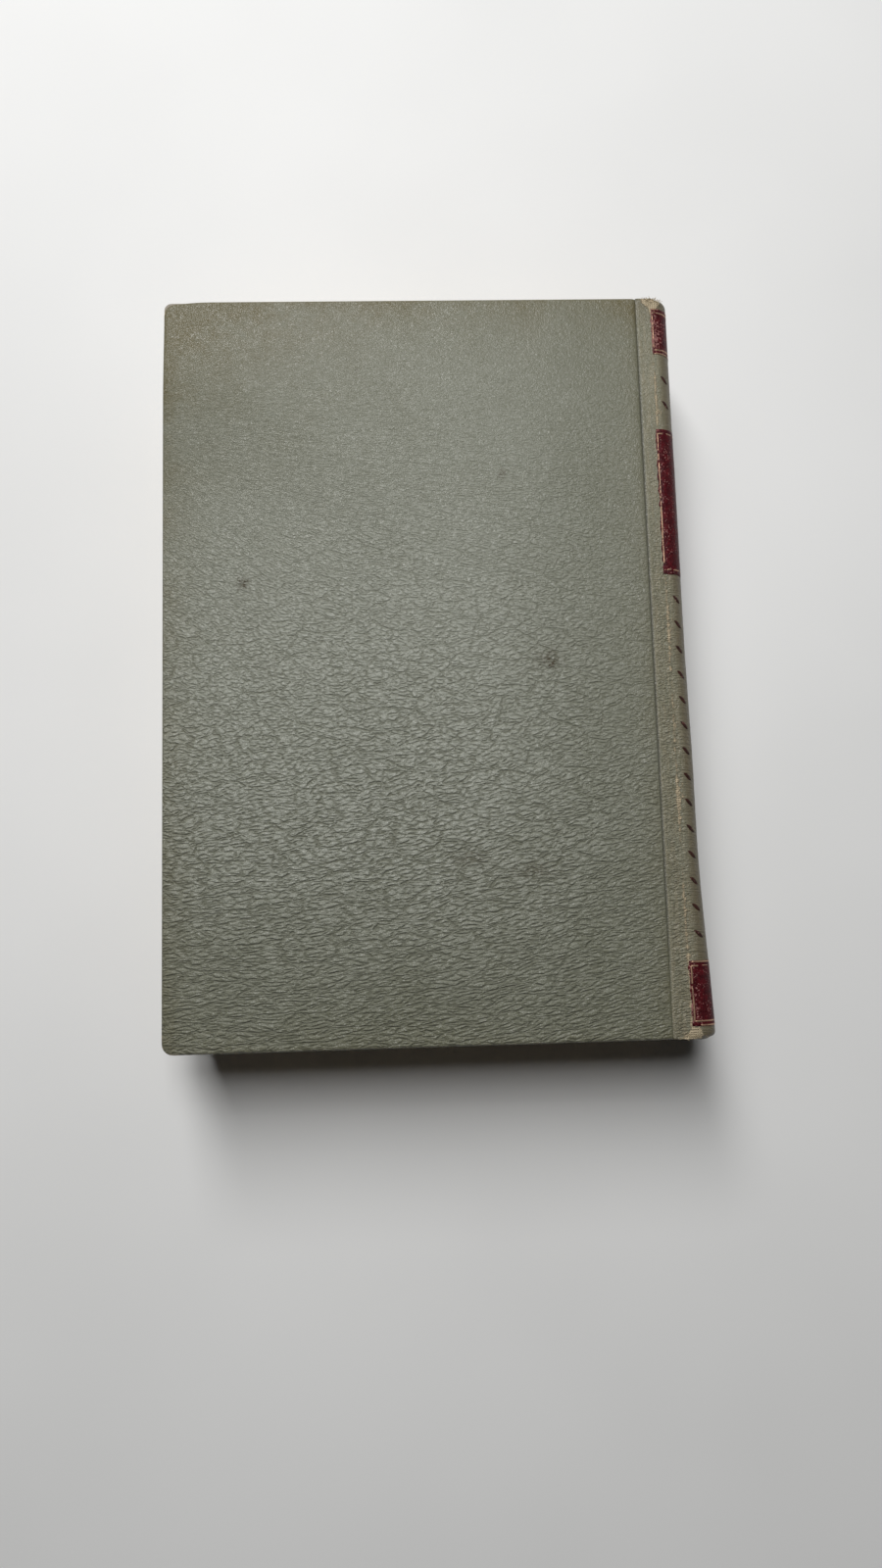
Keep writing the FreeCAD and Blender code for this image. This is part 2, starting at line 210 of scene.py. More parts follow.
@dataclass(frozen=True)
class Outline:
    """Cross-section of the case from the back groove round the spine to the front groove.

    Attributes:
        book: Stations of the book.
        groove_floor: Width over which the cover rolls into the groove.
        groove_depth: Depth of the groove under the cover's face.
        groove_round: Radius of the two bends that climb out of the groove.
        shoulder_drop: How far the shoulder lies under the cover's face.
        corner: Radius from the shoulder into the spine.
        lean: Angle at which the corner meets the round of the spine.
        layers: Thickness of everything between the folds and the outer face of the spine.
        flare: How far the spine has spread at the tail.
        pinch: How far it is drawn in at the head.
    """

    book: Book
    groove_floor: float = 1.5 * MM
    groove_depth: float = 0.6 * MM
    groove_round: float = 0.5 * MM
    shoulder_drop: float = 0.4 * MM
    corner: float = 5.0 * MM
    lean: float = math.radians(12.0)
    layers: float = 3.25 * MM
    flare: float = 2.9 * MM
    pinch: float = 0.2 * MM

    @cached_property
    def groove_end(self) -> float:
        """Station where the groove's floor ends."""
        return self.book.cover_edge + self.groove_floor

    @cached_property
    def groove_level(self) -> float:
        """Level of the groove's floor."""
        return self.book.top - self.groove_depth

    @cached_property
    def spine_radius(self) -> float:
        """Radius of the round of the spine."""
        level = self.book.top - self.shoulder_drop - self.corner
        return (level - self.book.middle) / math.sin(self.lean) + self.corner

    @cached_property
    def parts(self) -> tuple[Run | Bend, ...]:
        """The runs and bends from the groove's end to the middle of the spine."""
        shoulder = self.book.top - self.shoulder_drop
        radius = self.groove_round
        climb = shoulder - self.groove_level
        rise = math.acos(1.0 - climb / (2.0 * radius))
        start = self.groove_end + 2.0 * radius * math.sin(rise)
        corner_level = shoulder - self.corner
        centre = self.book.spine_line - self.spine_radius
        corner_x = centre + (self.spine_radius - self.corner) * math.cos(self.lean)
        quarter = math.pi / 2.0
        return (
            Bend((self.groove_end, self.groove_level + radius), radius, -quarter, rise, hollow=True),
            Bend((start, shoulder - radius), radius, quarter + rise, -rise),
            Run((start, shoulder), corner_x - start),
            Bend((corner_x, corner_level), self.corner, quarter, self.lean - quarter),
            Bend((centre, self.book.middle), self.spine_radius, self.lean, -self.lean),
        )

    @cached_property
    def half(self) -> float:
        """Length of the outline from the groove to the middle of the spine."""
        return sum(part.length for part in self.parts)

    @cached_property
    def corner_start(self) -> float:
        """Distance along the outline at which the corner begins."""
        return sum(part.length for part in self.parts[:3])

    def over(self, along: float) -> float:
        """The matching distance on the other half."""
        return 2.0 * self.half - along

    def from_groove(self, along: float) -> float:
        """Distance from the nearer groove."""
        return min(along, self.over(along))

    def at(self, along: float) -> tuple[Vector, Vector]:
        """Point and outward normal at a distance from the back groove, past the middle to the front."""
        rest = self.from_groove(along)
        for part in self.parts:
            if rest <= part.length or part is self.parts[-1]:
                break
            rest -= part.length
        point, normal = part.at(rest)
        if along > self.half:
            point.z = self.book.top - point.z
            normal.z = -normal.z
        return point, normal

    def spread(self, point: Vector) -> Vector:
        """Moves a point of the case out where the spine has spread, and in where its head is drawn in."""
        across = smooth(self.book.cover_edge + 2.3 * MM, self.book.spine_line, point.x)
        away = self.flare * (0.2 * ease(10.0, -35.0, point.y) + 0.8 * ease(-48.0, -112.0, point.y))
        away -= self.pinch * ease(30.0, 90.0, point.y)
        return Vector((point.x + away * across, point.y, point.z))

    def groove_shade_strength(self, y: float) -> float:
        """How strong the painted shade line in the groove is; it fades towards head and tail."""
        return 1.0 - 0.5 * ease(70.0, 100.0, y) - 0.8 * ease(-68.0, -98.0, y)

    def fold_reach(self, level: float) -> float:
        """Station of the folds at a level."""
        radius = self.spine_radius - self.layers
        centre = self.book.spine_line - self.spine_radius
        return centre + math.sqrt(radius ** 2 - (level - self.book.middle) ** 2)


# What is noted on the points of the leatherette, for its finish: crease depth, a painted sheen, browning,
# stains, wear and a painted shade line in the groove.
NOTES = ("creased", "painted_sheen", "toned", "stain", "wear", "line")


@dataclass(frozen=True)
class Lie:
    """How a cover has aged, and where a sheen is painted on it: its creases are deep towards the tail, and
    its middle carries a painted sheen.

    Attributes:
        seed: Shift of the noise that makes it uneven.
    """

    seed: float

    def depth(self, x: float, y: float) -> float:
        """How deep the creases are at a place."""
        sway = y + 10.0 * MM * ripple(x, y, 28.0, self.seed + 3.0)
        low = unit((98.0 * MM - sway) / (147.0 * MM))
        return (0.04 + 0.96 * low) * (1.0 - 0.22 * ease(36.0, 58.0, x))

    def painted_sheen(self, x: float, y: float) -> float:
        """How strong the painted sheen that pales the ridges is: in the middle, and less to the right and the
        tail.
        """
        right = ease(6.0, 58.0, x + 6.0 * MM * ripple(x, y, 20.0, self.seed + 5.0))
        tail = ease(-42.0, -102.0, y + 6.0 * MM * ripple(x, y, 20.0, self.seed + 6.0))
        head = ease(0.0, 95.0, y)
        return (1.0 - 0.70 * right - (0.92 - 0.64 * right) * tail) * (1.0 - 0.66 * head)


@dataclass(frozen=True)
class Stain:
    """A spot on a cover: its place and its reach along X and Y in millimetres, and how dark it is."""

    x: float
    y: float
    reach: Pair
    strength: float

    def at(self, x: float, y: float) -> float:
        """Strength of the spot at a place."""
        dx = (x - self.x * MM) / (self.reach[0] * MM)
        dy = (y - self.y * MM) / (self.reach[1] * MM)
        edge = 1.0 + 0.5 * ripple(x, y, 0.7 * min(self.reach), self.x * 0.9)
        return self.strength * math.exp(-(dx * dx + dy * dy) * edge)


class Bench:
    """Turns finished bmeshes into pieces of the scene."""

    def place(self, name: str, bm: BMesh, finish: Material, slot: str,
              even: bool = True) -> Object:
        """Makes an object of a bmesh, links it and dresses it.

        Args:
            name: Name of the piece.
            bm: Its mesh, which is freed.
            finish: Its material.
            slot: Name of the material slot; not used.
            even: Whether its faces are shaded smooth.

        Returns:
            The new object, which still has to ride or blend.
        """
        mesh = bpy.data.meshes.new(name)
        bm.to_mesh(mesh)
        bm.free()
        mesh.polygons.foreach_set("use_smooth", [even] * len(mesh.polygons))
        mesh.materials.append(finish)
        piece = bpy.data.objects.new(name, mesh)
        bpy.context.scene.collection.objects.link(piece)
        LOG.info("%s: %d faces", name, len(mesh.polygons))
        return piece

    def sheet(self, bm: BMesh, steps: tuple[int, int],
              shape: Callable[[float, float], Vector]) -> list[BMVert]:
        """Adds a grid and lays it on a surface.

        Args:
            bm: Mesh that takes the grid.
            steps: Faces along the two directions.
            shape: Gives the point for two shares between 0 and 1.

        Returns:
            The grid's vertices.
        """
        made = bmesh.ops.create_grid(bm, x_segments=steps[0], y_segments=steps[1], size=0.5)
        for vert in made["verts"]:
            vert.co = shape(vert.co.x + 0.5, vert.co.y + 0.5)
        return made["verts"]

    def thicken(self, bm: BMesh, verts: list[BMVert], move: Vector) -> None:
        """Closes a sheet into a slab by extruding its faces along a move."""
        faces = {face for vert in verts for face in vert.link_faces}
        made = bmesh.ops.extrude_face_region(bm, geom=list(faces), use_keep_orig=True)
        fresh = [item for item in made["geom"] if isinstance(item, BMVert)]
        bmesh.ops.translate(bm, verts=fresh, vec=move)

    def lap(self, bm: BMesh, edges: list[BMEdge],
            move: Callable[[Vector], Vector]) -> list[BMEdge]:
        """Extrudes border edges once and moves the new points.

        Args:
            bm: Mesh that holds the edges.
            edges: The border to extrude.
            move: Gives the new place of a point.

        Returns:
            The new border.
        """
        made = bmesh.ops.extrude_edge_only(bm, edges=edges)["geom"]
        for item in made:
            if isinstance(item, BMVert):
                item.co = move(item.co)
        return [item for item in made if isinstance(item, BMEdge)]

    def beyond(self, bm: BMesh, way: Triple, limit: float) -> list[BMEdge]:
        """The edges that lie at or past a limit along a direction."""
        ray = Vector(way)
        return [edge for edge in bm.edges if all(vert.co.dot(ray) > limit - CLOSE for vert in edge.verts)]


BENCH = Bench()


def spot(point: Vector) -> Triple:
    """A point rounded for use as a key."""
    return round(point.x, 7), round(point.y, 7), round(point.z, 7)


@dataclass
class CoverSkin:
    """Leatherette of one cover, with its rounded edges, turn-ins and the strip across the groove.

    Attributes:
        book: Stations of the book.
        outline: Cross-section of the case.
        side: The cover that it lies on.
        spacing: Size of a face of the grid.
        stains: Spots on its face.
        swell: Height of the gentle waves in its face.
        edge_round: Radius of the outer edges.
        inner_round: Radius of the inner edges.
        corner_round: Radius of the corners in plan.
        strip_fold: How deep the strip across the groove is folded at head and tail.
        knock: How far the head corner of the fore-edge is knocked in, along X and Y.
    """

    book: Book
    outline: Outline
    side: Side
    spacing: float
    stains: tuple[Stain, ...] = ()
    swell: float = 0.07 * MM
    edge_round: float = 0.8 * MM
    inner_round: float = 0.5 * MM
    corner_round: float = 3.0 * MM
    strip_fold: float = 0.9 * MM
    knock: Pair = (0.35 * MM, 0.8 * MM)

    def build(self, finish: Material) -> None:
        """Builds the sheet on its side of the book."""
        bm = bmesh.new()
        self._face(bm)
        self._groove(bm)
        self._edges(bm)
        bmesh.ops.remove_doubles(bm, verts=bm.verts, dist=CLOSE)
        self._weather(bm)
        if self.side is Side.FRONT:
            bmesh.ops.transform(bm, matrix=self.book.flip(), verts=bm.verts)
            bmesh.ops.reverse_faces(bm, faces=bm.faces)
        name = self.side.value
        piece = BENCH.place(f"{name}_cover_skin", bm, finish, "leatherette")
        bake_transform(piece)
        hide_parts(f"{name}_covering")

    @property
    def _hub(self) -> Pair:
        """Centre of the rounded corner at the head, in plan."""
        return self.book.fore_edge + self.corner_round, self.book.half_height - self.corner_round

    def _face(self, bm: BMesh) -> None:
        """Lays the flat face, with its fore-edge corners rounded in plan."""
        book = self.book
        start = book.fore_edge + self.edge_round
        wide = book.cover_edge - self.edge_round - start
        high = 2.0 * (book.half_height - self.edge_round)
        hub_x, hub_y = self._hub
        reach = self.corner_round - self.edge_round

        def shape(u: float, v: float) -> Vector:
            """Place of a grid point on the face."""
            point = Vector((start + u * wide, (v - 0.5) * high, book.top))
            if point.x < hub_x and abs(point.y) > hub_y:
                hub = Vector((hub_x, math.copysign(hub_y, point.y), book.top))
                ray = point - hub
                if ray.length > reach:
                    point = hub + ray.normalized() * reach
            return point

        BENCH.sheet(bm, (round(wide / self.spacing), round(high / self.spacing)), shape)

    def _groove(self, bm: BMesh) -> None:
        """Rolls the edge at the hinge into the groove and carries the sheet to the groove's end."""
        flat_end = self.book.cover_edge - self.edge_round
        end = self.outline.groove_end
        steps = 12
        edges = BENCH.beyond(bm, (1.0, 0.0, 0.0), flat_end)
        for step in range(1, steps + 1):
            x = flat_end + (end - flat_end) * step / steps
            z = self.book.top - self.outline.groove_depth * (step / steps) ** 4
            edges = BENCH.lap(bm, edges, lambda point, x=x, z=z: Vector((x, point.y, z)))

    def _ray(self, point: Vector) -> Vector:
        """Direction in plan in which the sheet leaves its border."""
        hub_x, hub_y = self._hub
        if point.x < hub_x and abs(point.y) > hub_y:
            return Vector((point.x - hub_x, point.y - math.copysign(hub_y, point.y), 0.0)).normalized()
        if abs(point.y) > self.book.half_height - self.edge_round - CLOSE:
            return Vector((0.0, math.copysign(1.0, point.y), 0.0))
        return Vector((-1.0, 0.0, 0.0))

    def _edges(self, bm: BMesh) -> None:
        """Folds the three free sides over the board's edges and turns them in."""
        book = self.book
        thick = book.top - book.turn_in_face
        hinge = set(BENCH.beyond(bm, (1.0, 0.0, 0.0), self.outline.groove_end))
        edges = [edge for edge in bm.edges if edge.is_boundary and edge not in hinge]
        base = {}
        for edge in edges:
            for vert in edge.verts:
                base[spot(vert.co)] = (vert.co.copy(), self._ray(vert.co))
        rounds = [math.radians(step) for step in (22.5, 45.0, 67.5, 90.0)]
        laps = [(self.edge_round * math.sin(a), self.edge_round * (1.0 - math.cos(a))) for a in rounds]
        drop = thick - self.inner_round
        side = drop - self.edge_round
        laps += [(self.edge_round, self.edge_round + side * part) for part in (0.33, 0.67, 1.0)]
        laps += [
            (self.edge_round - self.inner_round * (1.0 - math.cos(a)), drop + self.inner_round * math.sin(a))
            for a in rounds[1::2]
        ]
        inner = self.edge_round - self.inner_round
        laps += [(inner - TURN_IN * part, thick) for part in (0.06, 0.15, 0.3, 0.5, 0.75, 1.0)]
        for outset, fall in laps:
            fresh = {}

            def move(point: Vector) -> Vector:
                """Next place of a border point, kept by its first place."""
                first, ray = base[spot(point)]
                strip = first.x > book.cover_edge + CLOSE
                depth = min(fall, self.strip_fold) if strip else fall * (first.z - book.turn_in_face) / thick
                place = first + ray * max(outset, inner)
                if outset < inner:
                    inset = self.edge_round - outset
                    limit = book.half_height - (min(inset, 1.0 * MM) if strip else inset)
                    place.x = max(place.x, book.fore_edge + inset)
                    place.y = min(limit, max(-limit, place.y))
                place.z = first.z - depth
                fresh[spot(place)] = (first, ray)
                return place

            edges = BENCH.lap(bm, edges, move)
            base = fresh

    def _weather(self, bm: BMesh) -> None:
        """Lets the sheet swell gently and notes wrinkles, toning, stains, wear, a painted sheen and a painted
        shade line in the groove.
        """
        book = self.book
        layers = {name: bm.verts.layers.float.new(name) for name in NOTES}
        seed = 0.0 if self.side is Side.BACK else 40.0
        lie = Lie(seed)
        bm.normal_update()
        moves = []
        for vert in bm.verts:
            point = vert.co
            down = book.top - point.z
            rim = min(point.x - book.fore_edge, book.half_height - abs(point.y))
            in_groove = smooth(self.outline.groove_end - 1.2 * MM, self.outline.groove_end, point.x)
            vert[layers["creased"]] = lie.depth(point.x, point.y) * (1.0 - in_groove)
            # painted sheen: how far the ridges are painted paler here
            vert[layers["painted_sheen"]] = lie.painted_sheen(point.x, point.y)
            vert[layers["toned"]] = self._toning(point, seed)
            vert[layers["stain"]] = sum(stain.at(point.x, point.y) for stain in self.stains)
            corner = math.hypot(point.x - book.fore_edge, book.half_height - abs(point.y))
            edge = ease(1.3, 0.1, rim) * ease(2.4, 0.6, down)
            vert[layers["wear"]] = 0.40 * edge + 0.25 * ease(6.0, 0.5, corner) * edge
            # painted shade: a dark line noted at the foot of the groove
            line = ease(0.75, 0.0, self.outline.groove_end - point.x)
            vert[layers["line"]] = line * self.outline.groove_shade_strength(point.y)
            wave = 0.5 + 0.35 * ripple(point.x, point.y, 9.0, seed)
            wave += 0.2 * ripple(point.x, point.y, 4.0, seed)
            free = (1.0 - in_groove) * ease(0.0, 2.0, rim)
            moves.append((vert, vert.normal * (-self.swell * wave * free)))
        for vert, move in moves:
            vert.co = self.outline.spread(self._bump(vert.co + move))

    def _bump(self, point: Vector) -> Vector:
        """Knocks in the head corner of the fore-edge a little."""
        near = ease(16.0, 0.0, point.x - self.book.fore_edge)
        far = smooth(self.book.half_height - 30.0 * MM, self.book.half_height, point.y)
        shift = Vector((self.knock[0] * near * far, -self.knock[1] * near * near * far, 0.0))
        return point + shift

    def _toning(self, point: Vector, seed: float) -> float:
        """How far the leatherette has browned at a place."""
        book = self.book
        head = book.half_height - point.y
        tail = book.half_height + point.y
        fore = point.x - book.fore_edge
        hinge = book.cover_edge - point.x
        blur = 1.0 + 0.5 * ripple(point.x, point.y, 12.0, seed + 21.0)
        blur += 0.35 * ripple(point.x, point.y, 3.0, seed + 23.0)
        tone = 0.75 * fade(head, 9.0) + 0.45 * fade(fore, 6.0) + 0.30 * fade(tail, 4.0)
        tone += 0.34 * fade(max(hinge, 0.0), 5.0) + 0.85 * fade(math.hypot(head, fore), 30.0)
        return unit(tone * blur)


@dataclass
class SpineSkin:
    """Leatherette from one groove round the spine to the other, with its caps folded in.

    Attributes:
        book: Stations of the book.
        outline: Cross-section of the case.
        spacing: Size of a face of the grid.
        swell: Height of the gentle waves in the sheet.
        cap_round: How far the caps are pulled over the ends of the spine.
        cap_thick: Thickness of a folded cap.
        cap_turn_in: How far a cap is turned in.
        shoulder_turn_in: How far the sheet is turned in on the shoulders.
        cap_laps: Steps of the fold: outset in millimetres, share of the thickness, share of the turn-in.
        thread_line: Distance of the worn-through line from the corner, towards the groove.
    """

    book: Book
    outline: Outline
    spacing: float = 0.5 * MM
    swell: float = 0.10 * MM
    cap_round: float = 1.7 * MM
    cap_thick: float = 1.8 * MM
    cap_turn_in: float = 10.0 * MM
    shoulder_turn_in: float = 2.4 * MM
    cap_laps: tuple[Triple, ...] = (
        (0.25, 0.12, 0.0), (0.42, 0.4, 0.0), (0.42, 0.75, 0.0), (0.2, 1.0, 0.0), (0.0, 1.0, 1.0),
    )
    thread_line: float = 0.45 * MM

    def build(self, finish: Material) -> None:
        """Builds the sheet on the text block."""
        bm = bmesh.new()
        layers = {name: bm.verts.layers.float.new(name) for name in NOTES}
        length = 2.0 * self.outline.half
        high = 2.0 * self.book.half_height
        rays = {}

        def shape(u: float, v: float) -> Vector:
            """Place of a grid point on the smooth spine, closer together near the grooves."""
            part = abs(2.0 * u - 1.0)
            along = self.outline.half * (1.0 - math.copysign(1.0 - (1.0 - part) ** 1.4, 1.0 - 2.0 * u))
            point, normal = self.surface(along, (v - 0.5) * high)
            rays[spot(point)] = (normal, along)
            return point

        verts = BENCH.sheet(bm, (round(length / self.spacing), round(high / self.spacing)), shape)
        for vert in verts:
            self._weather(vert, layers, rays[spot(vert.co)][1])
        self._caps(bm, rays)
        for vert in verts:
            normal, along = rays[spot(vert.co)]
            vert.co = self.outline.spread(vert.co - normal * self.sink(along, vert.co.y))
        done = set(verts)
        for vert in bm.verts:
            if vert not in done:
                vert.co = self.outline.spread(vert.co)
                vert[layers["wear"]] = 0.35
                vert[layers["toned"]] = 0.8
        piece = BENCH.place("spine_skin", bm, finish, "leatherette")
        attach(piece, "text_block")
        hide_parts("spine_covering")

    def surface(self, along: float, y: float) -> tuple[Vector, Vector]:
        """Point and normal of the smooth spine, with the caps pulled over its ends."""
        point, normal = self.outline.at(along)
        point.y = y
        rest = self.book.half_height - abs(y)
        if rest < self.cap_round:
            part = 1.0 - rest / self.cap_round
            pull = self.cap_round * 0.8 * (1.0 - math.sqrt(max(0.0, 1.0 - part * part)))
            point -= normal * pull * self._on_spine(along)
        return point, normal

    def _on_spine(self, along: float) -> float:
        """0 on the shoulders and 1 on the spine."""
        near = self.outline.from_groove(along) - self.outline.corner_start
        return ease(-1.0, 2.5, near)

    def sink(self, along: float, y: float) -> float:
        """How deep the surface lies under the smooth spine at a place."""
        end = self.outline.from_groove(along)
        wave = 0.5 + 0.35 * ripple(along, y, 7.0, 4.0) + 0.2 * ripple(along, y, 3.0, 5.0)
        return self.swell * wave * ease(0.2, 1.5, end)

    def _weather(self, vert: BMVert, layers: dict[str, BMLayerItem], along: float) -> None:
        """Notes wrinkles, toning, wear, a weak painted sheen and a painted shade line in the groove at a
        point of the sheet.
        """
        y = vert.co.y
        end = self.outline.from_groove(along)
        corner = end - self.outline.corner_start
        spine = self._on_spine(along)
        rest = self.book.half_height - abs(y)
        low = ease(90.0, -30.0, y)
        vert[layers["creased"]] = (0.25 + 0.55 * low) * (1.0 - 0.55 * spine) * ease(0.0, 1.5, end)
        tone = 0.06 + 0.74 * ease(0.2, 3.0, corner) + 0.15 * ripple(along, y, 9.0, 2.0)
        vert[layers["toned"]] = unit(tone + 0.35 * fade(rest, 5.0))
        # painted shade line at the foot of the groove
        vert[layers["line"]] = ease(0.55, 0.15, end) * self.outline.groove_shade_strength(y)
        # a weak painted sheen on the spine's ridges
        vert[layers["painted_sheen"]] = 0.25
        thread = 0.88 * bell(corner + self.thread_line, 0.6) + 0.62 * bell(corner - 0.9 * MM, 1.1)
        broken = 0.86 + 0.30 * ripple(along, y, 1.1, 12.0) + 0.40 * ripple(0.0, y, 16.0, 13.0)
        fringe = rest + 1.4 * MM * ripple(along, y, 1.6, 15.0)
        cap = ease(3.8, 0.2, fringe) * (0.12 + 0.55 * bell(corner + 0.8 * MM, 2.8))
        head = 0.45 * ease(6.5, 0.5, self.book.half_height - y) * bell(corner, 3.5)
        vert[layers["wear"]] = min(0.9, unit(0.66 * thread * broken + cap + head))

    def _caps(self, bm: BMesh, rays: dict[Triple, tuple[Vector, float]]) -> None:
        """Folds the sheet over at head and tail and turns it in."""
        for way in (1.0, -1.0):
            edges = BENCH.beyond(bm, (0.0, way, 0.0), self.book.half_height)
            base = {spot(vert.co): vert.co.copy() for edge in edges for vert in edge.verts}
            for outset, part, inward in self.cap_laps:
                fresh = {}

                def move(point: Vector) -> Vector:
                    """Next place of a point of the cap."""
                    first = base[spot(point)]
                    normal, along = rays[spot(first)]
                    spine = self._on_spine(along)
                    thick = (COVERING + (self.cap_thick - COVERING) * spine) * part
                    start = self.shoulder_turn_in
                    turn = inward * (start + (self.cap_turn_in - start) * spine)
                    place = first - normal * thick
                    place.y += way * (outset * MM * spine - turn)
                    fresh[spot(place)] = first
                    return place

                edges = BENCH.lap(bm, edges, move)
                base = fresh


@dataclass
class SpineTrim:
    """Red panels, gilt rules and short strokes blocked on the spine.

    Attributes:
        skin: The spine that they lie on.
        lift: Height of the blocked film over the spine.
        film: Thickness of the film.
        spacing: Size of a face of a panel.
        rule_lift: Height of the rules over the spine.
        rule_step: Length of a face of a rule.
        rule_width: Width of a rule.
        rule_insets: Distances of the rules from the end of their panel.
        laps: How far each panel reaches past the corners of the spine onto the shoulders.
        side_inset: Distance of the side rules from the side of their panel.
        stroke_start: Distance of the strokes from the corner of the spine.
        stroke_pitch: Distance between two strokes, before they are evened out.
        stroke_size: Reach of a stroke round the spine and along it.
        stroke_thick: Thickness of a stroke in its middle.
        panels: The solids of the panels, from the head.
    """

    skin: SpineSkin
    lift: float = 0.05 * MM
    film: float = 0.07 * MM
    spacing: float = 0.45 * MM
    rule_lift: float = 0.085 * MM
    rule_step: float = 0.3 * MM
    rule_width: float = 0.38 * MM
    rule_insets: tuple[float, ...] = (0.25 * MM, 1.35 * MM)
    laps: tuple[float, ...] = (0.65 * MM, 1.0 * MM, 0.35 * MM)
    side_inset: float = 0.50 * MM
    stroke_start: float = 2.7 * MM
    stroke_pitch: float = 7.2 * MM
    stroke_size: Pair = (2.6 * MM, -1.9 * MM)
    stroke_thick: float = 1.3 * MM
    panels: tuple[str, ...] = ("head_panel", "title_panel", "tail_panel")

    def build(self, red: Material, gilt: Material, ink: Material) -> None:
        """Builds the panels, the rules and the strokes on the text block."""
        pieces = [self._panel(name, red, self._start(lap)) for name, lap in zip(self.panels, self.laps)]
        pieces.append(self._rules(gilt))
        pieces.append(self._strokes(ink))
        for piece in pieces:
            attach(piece, "text_block")

    def _start(self, lap: float) -> float:
        """Distance along the outline at which a panel begins."""
        return self.skin.outline.corner_start - lap

    def _on(self, along: float, y: float, lift: float) -> Vector:
        """Point over the embossed spine."""
        point, normal = self.skin.surface(along, y)
        point += normal * (lift - self.skin.sink(along, y))
        return self.skin.outline.spread(point)

    def _film(self, bm: BMesh) -> None:
        """Gives the film of a mesh its thickness, downwards."""
        bmesh.ops.recalc_face_normals(bm, faces=bm.faces)
        bmesh.ops.solidify(bm, geom=list(bm.faces), thickness=self.film)

    def _panel(self, name: str, red: Material, start: float) -> Object:
        """Builds one panel with ragged ends, worn towards its borders."""
        low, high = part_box(name)
        length = 2.0 * (self.skin.outline.half - start)
        tall = high.y - low.y
        bm = bmesh.new()
        wear = bm.verts.layers.float.new("wear")
        notes = {}

        def shape(u: float, v: float) -> Vector:
            """Place of a point of the panel."""
            along = start + u * length
            y = low.y + v * tall
            side = min(u, 1.0 - u) * length
            rag = 0.45 * MM * ripple(along, y, 1.5, 31.0) * ease(1.2, 0.0, side)
            end = 0.22 * MM * ripple(along, y, 1.8, 33.0)
            place = self._on(along + rag, y + end * abs(2.0 * v - 1.0) ** 6, self.lift)
            border = min(side, min(v, 1.0 - v) * tall)
            mark = 0.26 + 0.10 * ease(0.5, 0.0, border) + 0.10 * ripple(along, y, 5.0, 35.0)
            mark += 0.10 * ease(3.5, 0.5, side)
            if name == "head_panel":
                mark += 0.12
            if name == "tail_panel":
                mark += 0.07 * smooth(0.75, 0.25, v)
            notes[spot(place)] = mark
            return place

        verts = BENCH.sheet(bm, (round(length / self.spacing), round(tall / self.spacing)), shape)
        for vert in verts:
            vert[wear] = unit(notes[spot(vert.co)])
        self._film(bm)
        piece = BENCH.place(name.replace("panel", "block"), bm, red, "red_panel")
        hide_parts(name)
        return piece

    def _end_rule(self, bm: BMesh, y: float, start: float) -> None:
        """Adds a rule round the spine, near an end of a panel."""
        length = 2.0 * (self.skin.outline.half - start)

        def shape(u: float, v: float) -> Vector:
            """Place of a point of the rule."""
            along = start + u * length
            width = self.rule_width * (1.0 + 0.45 * ripple(along, y, 0.9, 41.0))
            return self._on(along, y + (v - 0.5) * width, self.rule_lift)

        BENCH.sheet(bm, (round(length / self.rule_step), 2), shape)

    def _side_rule(self, bm: BMesh, middle: float, low: float, high: float) -> None:
        """Adds a rule along a side of a panel."""

        def shape(u: float, v: float) -> Vector:
            """Place of a point of the rule."""
            y = low + v * (high - low)
            width = 0.75 * self.rule_width * (1.0 + 0.5 * ripple(middle, y, 1.6, 42.0))
            sway = 0.10 * MM * ripple(middle, y, 6.0, 44.0)
            return self._on(middle + sway + (u - 0.5) * width, y, self.rule_lift)

        BENCH.sheet(bm, (2, round((high - low) / self.rule_step)), shape)

    def _rules(self, gilt: Material) -> Object:
        """Builds the gilt rules inside the borders of the panels, with worn-off gaps."""
        bm = bmesh.new()
        for name, lap in zip(self.panels, self.laps):
            start = self._start(lap) + self.side_inset
            low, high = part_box(name)
            insets = self.rule_insets[1:] if name == "title_panel" else self.rule_insets
            for y in [low.y + inset for inset in insets] + [high.y - inset for inset in insets]:
                self._end_rule(bm, y, start)
            for middle in (start, self.skin.outline.over(start)):
                self._side_rule(bm, middle, low.y + insets[-1], high.y - insets[-1])
        gone = [
            face for face in bm.faces
            if ripple(*self._flat(face.calc_center_median()), 1.4, 43.0) > 0.25
        ]
        bmesh.ops.delete(bm, geom=gone, context="FACES")
        self._film(bm)
        piece = BENCH.place("gilt_lines", bm, gilt, "gilt")
        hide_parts("gilt_rules")
        return piece

    def _flat(self, point: Vector) -> Pair:
        """A point of the spine as seen from behind the book."""
        return point.z * 1.3 + point.x, point.y

    def _stroke(self, bm: BMesh, along: float, y: float, way: float) -> None:
        """Adds a stroke that leans towards the middle of the spine."""

        def shape(u: float, v: float) -> Vector:
            """Place of a point of the stroke, thick in the middle and pointed at its ends."""
            thick = self.stroke_thick * (1.0 - (2.0 * u - 1.0) ** 2) + 0.05 * MM
            place = Vector(self.stroke_size) * (u - 0.5)
            return self._on(along + way * place.x, y + (v - 0.5) * thick + place.y, self.lift)

        BENCH.sheet(bm, (7, 3), shape)

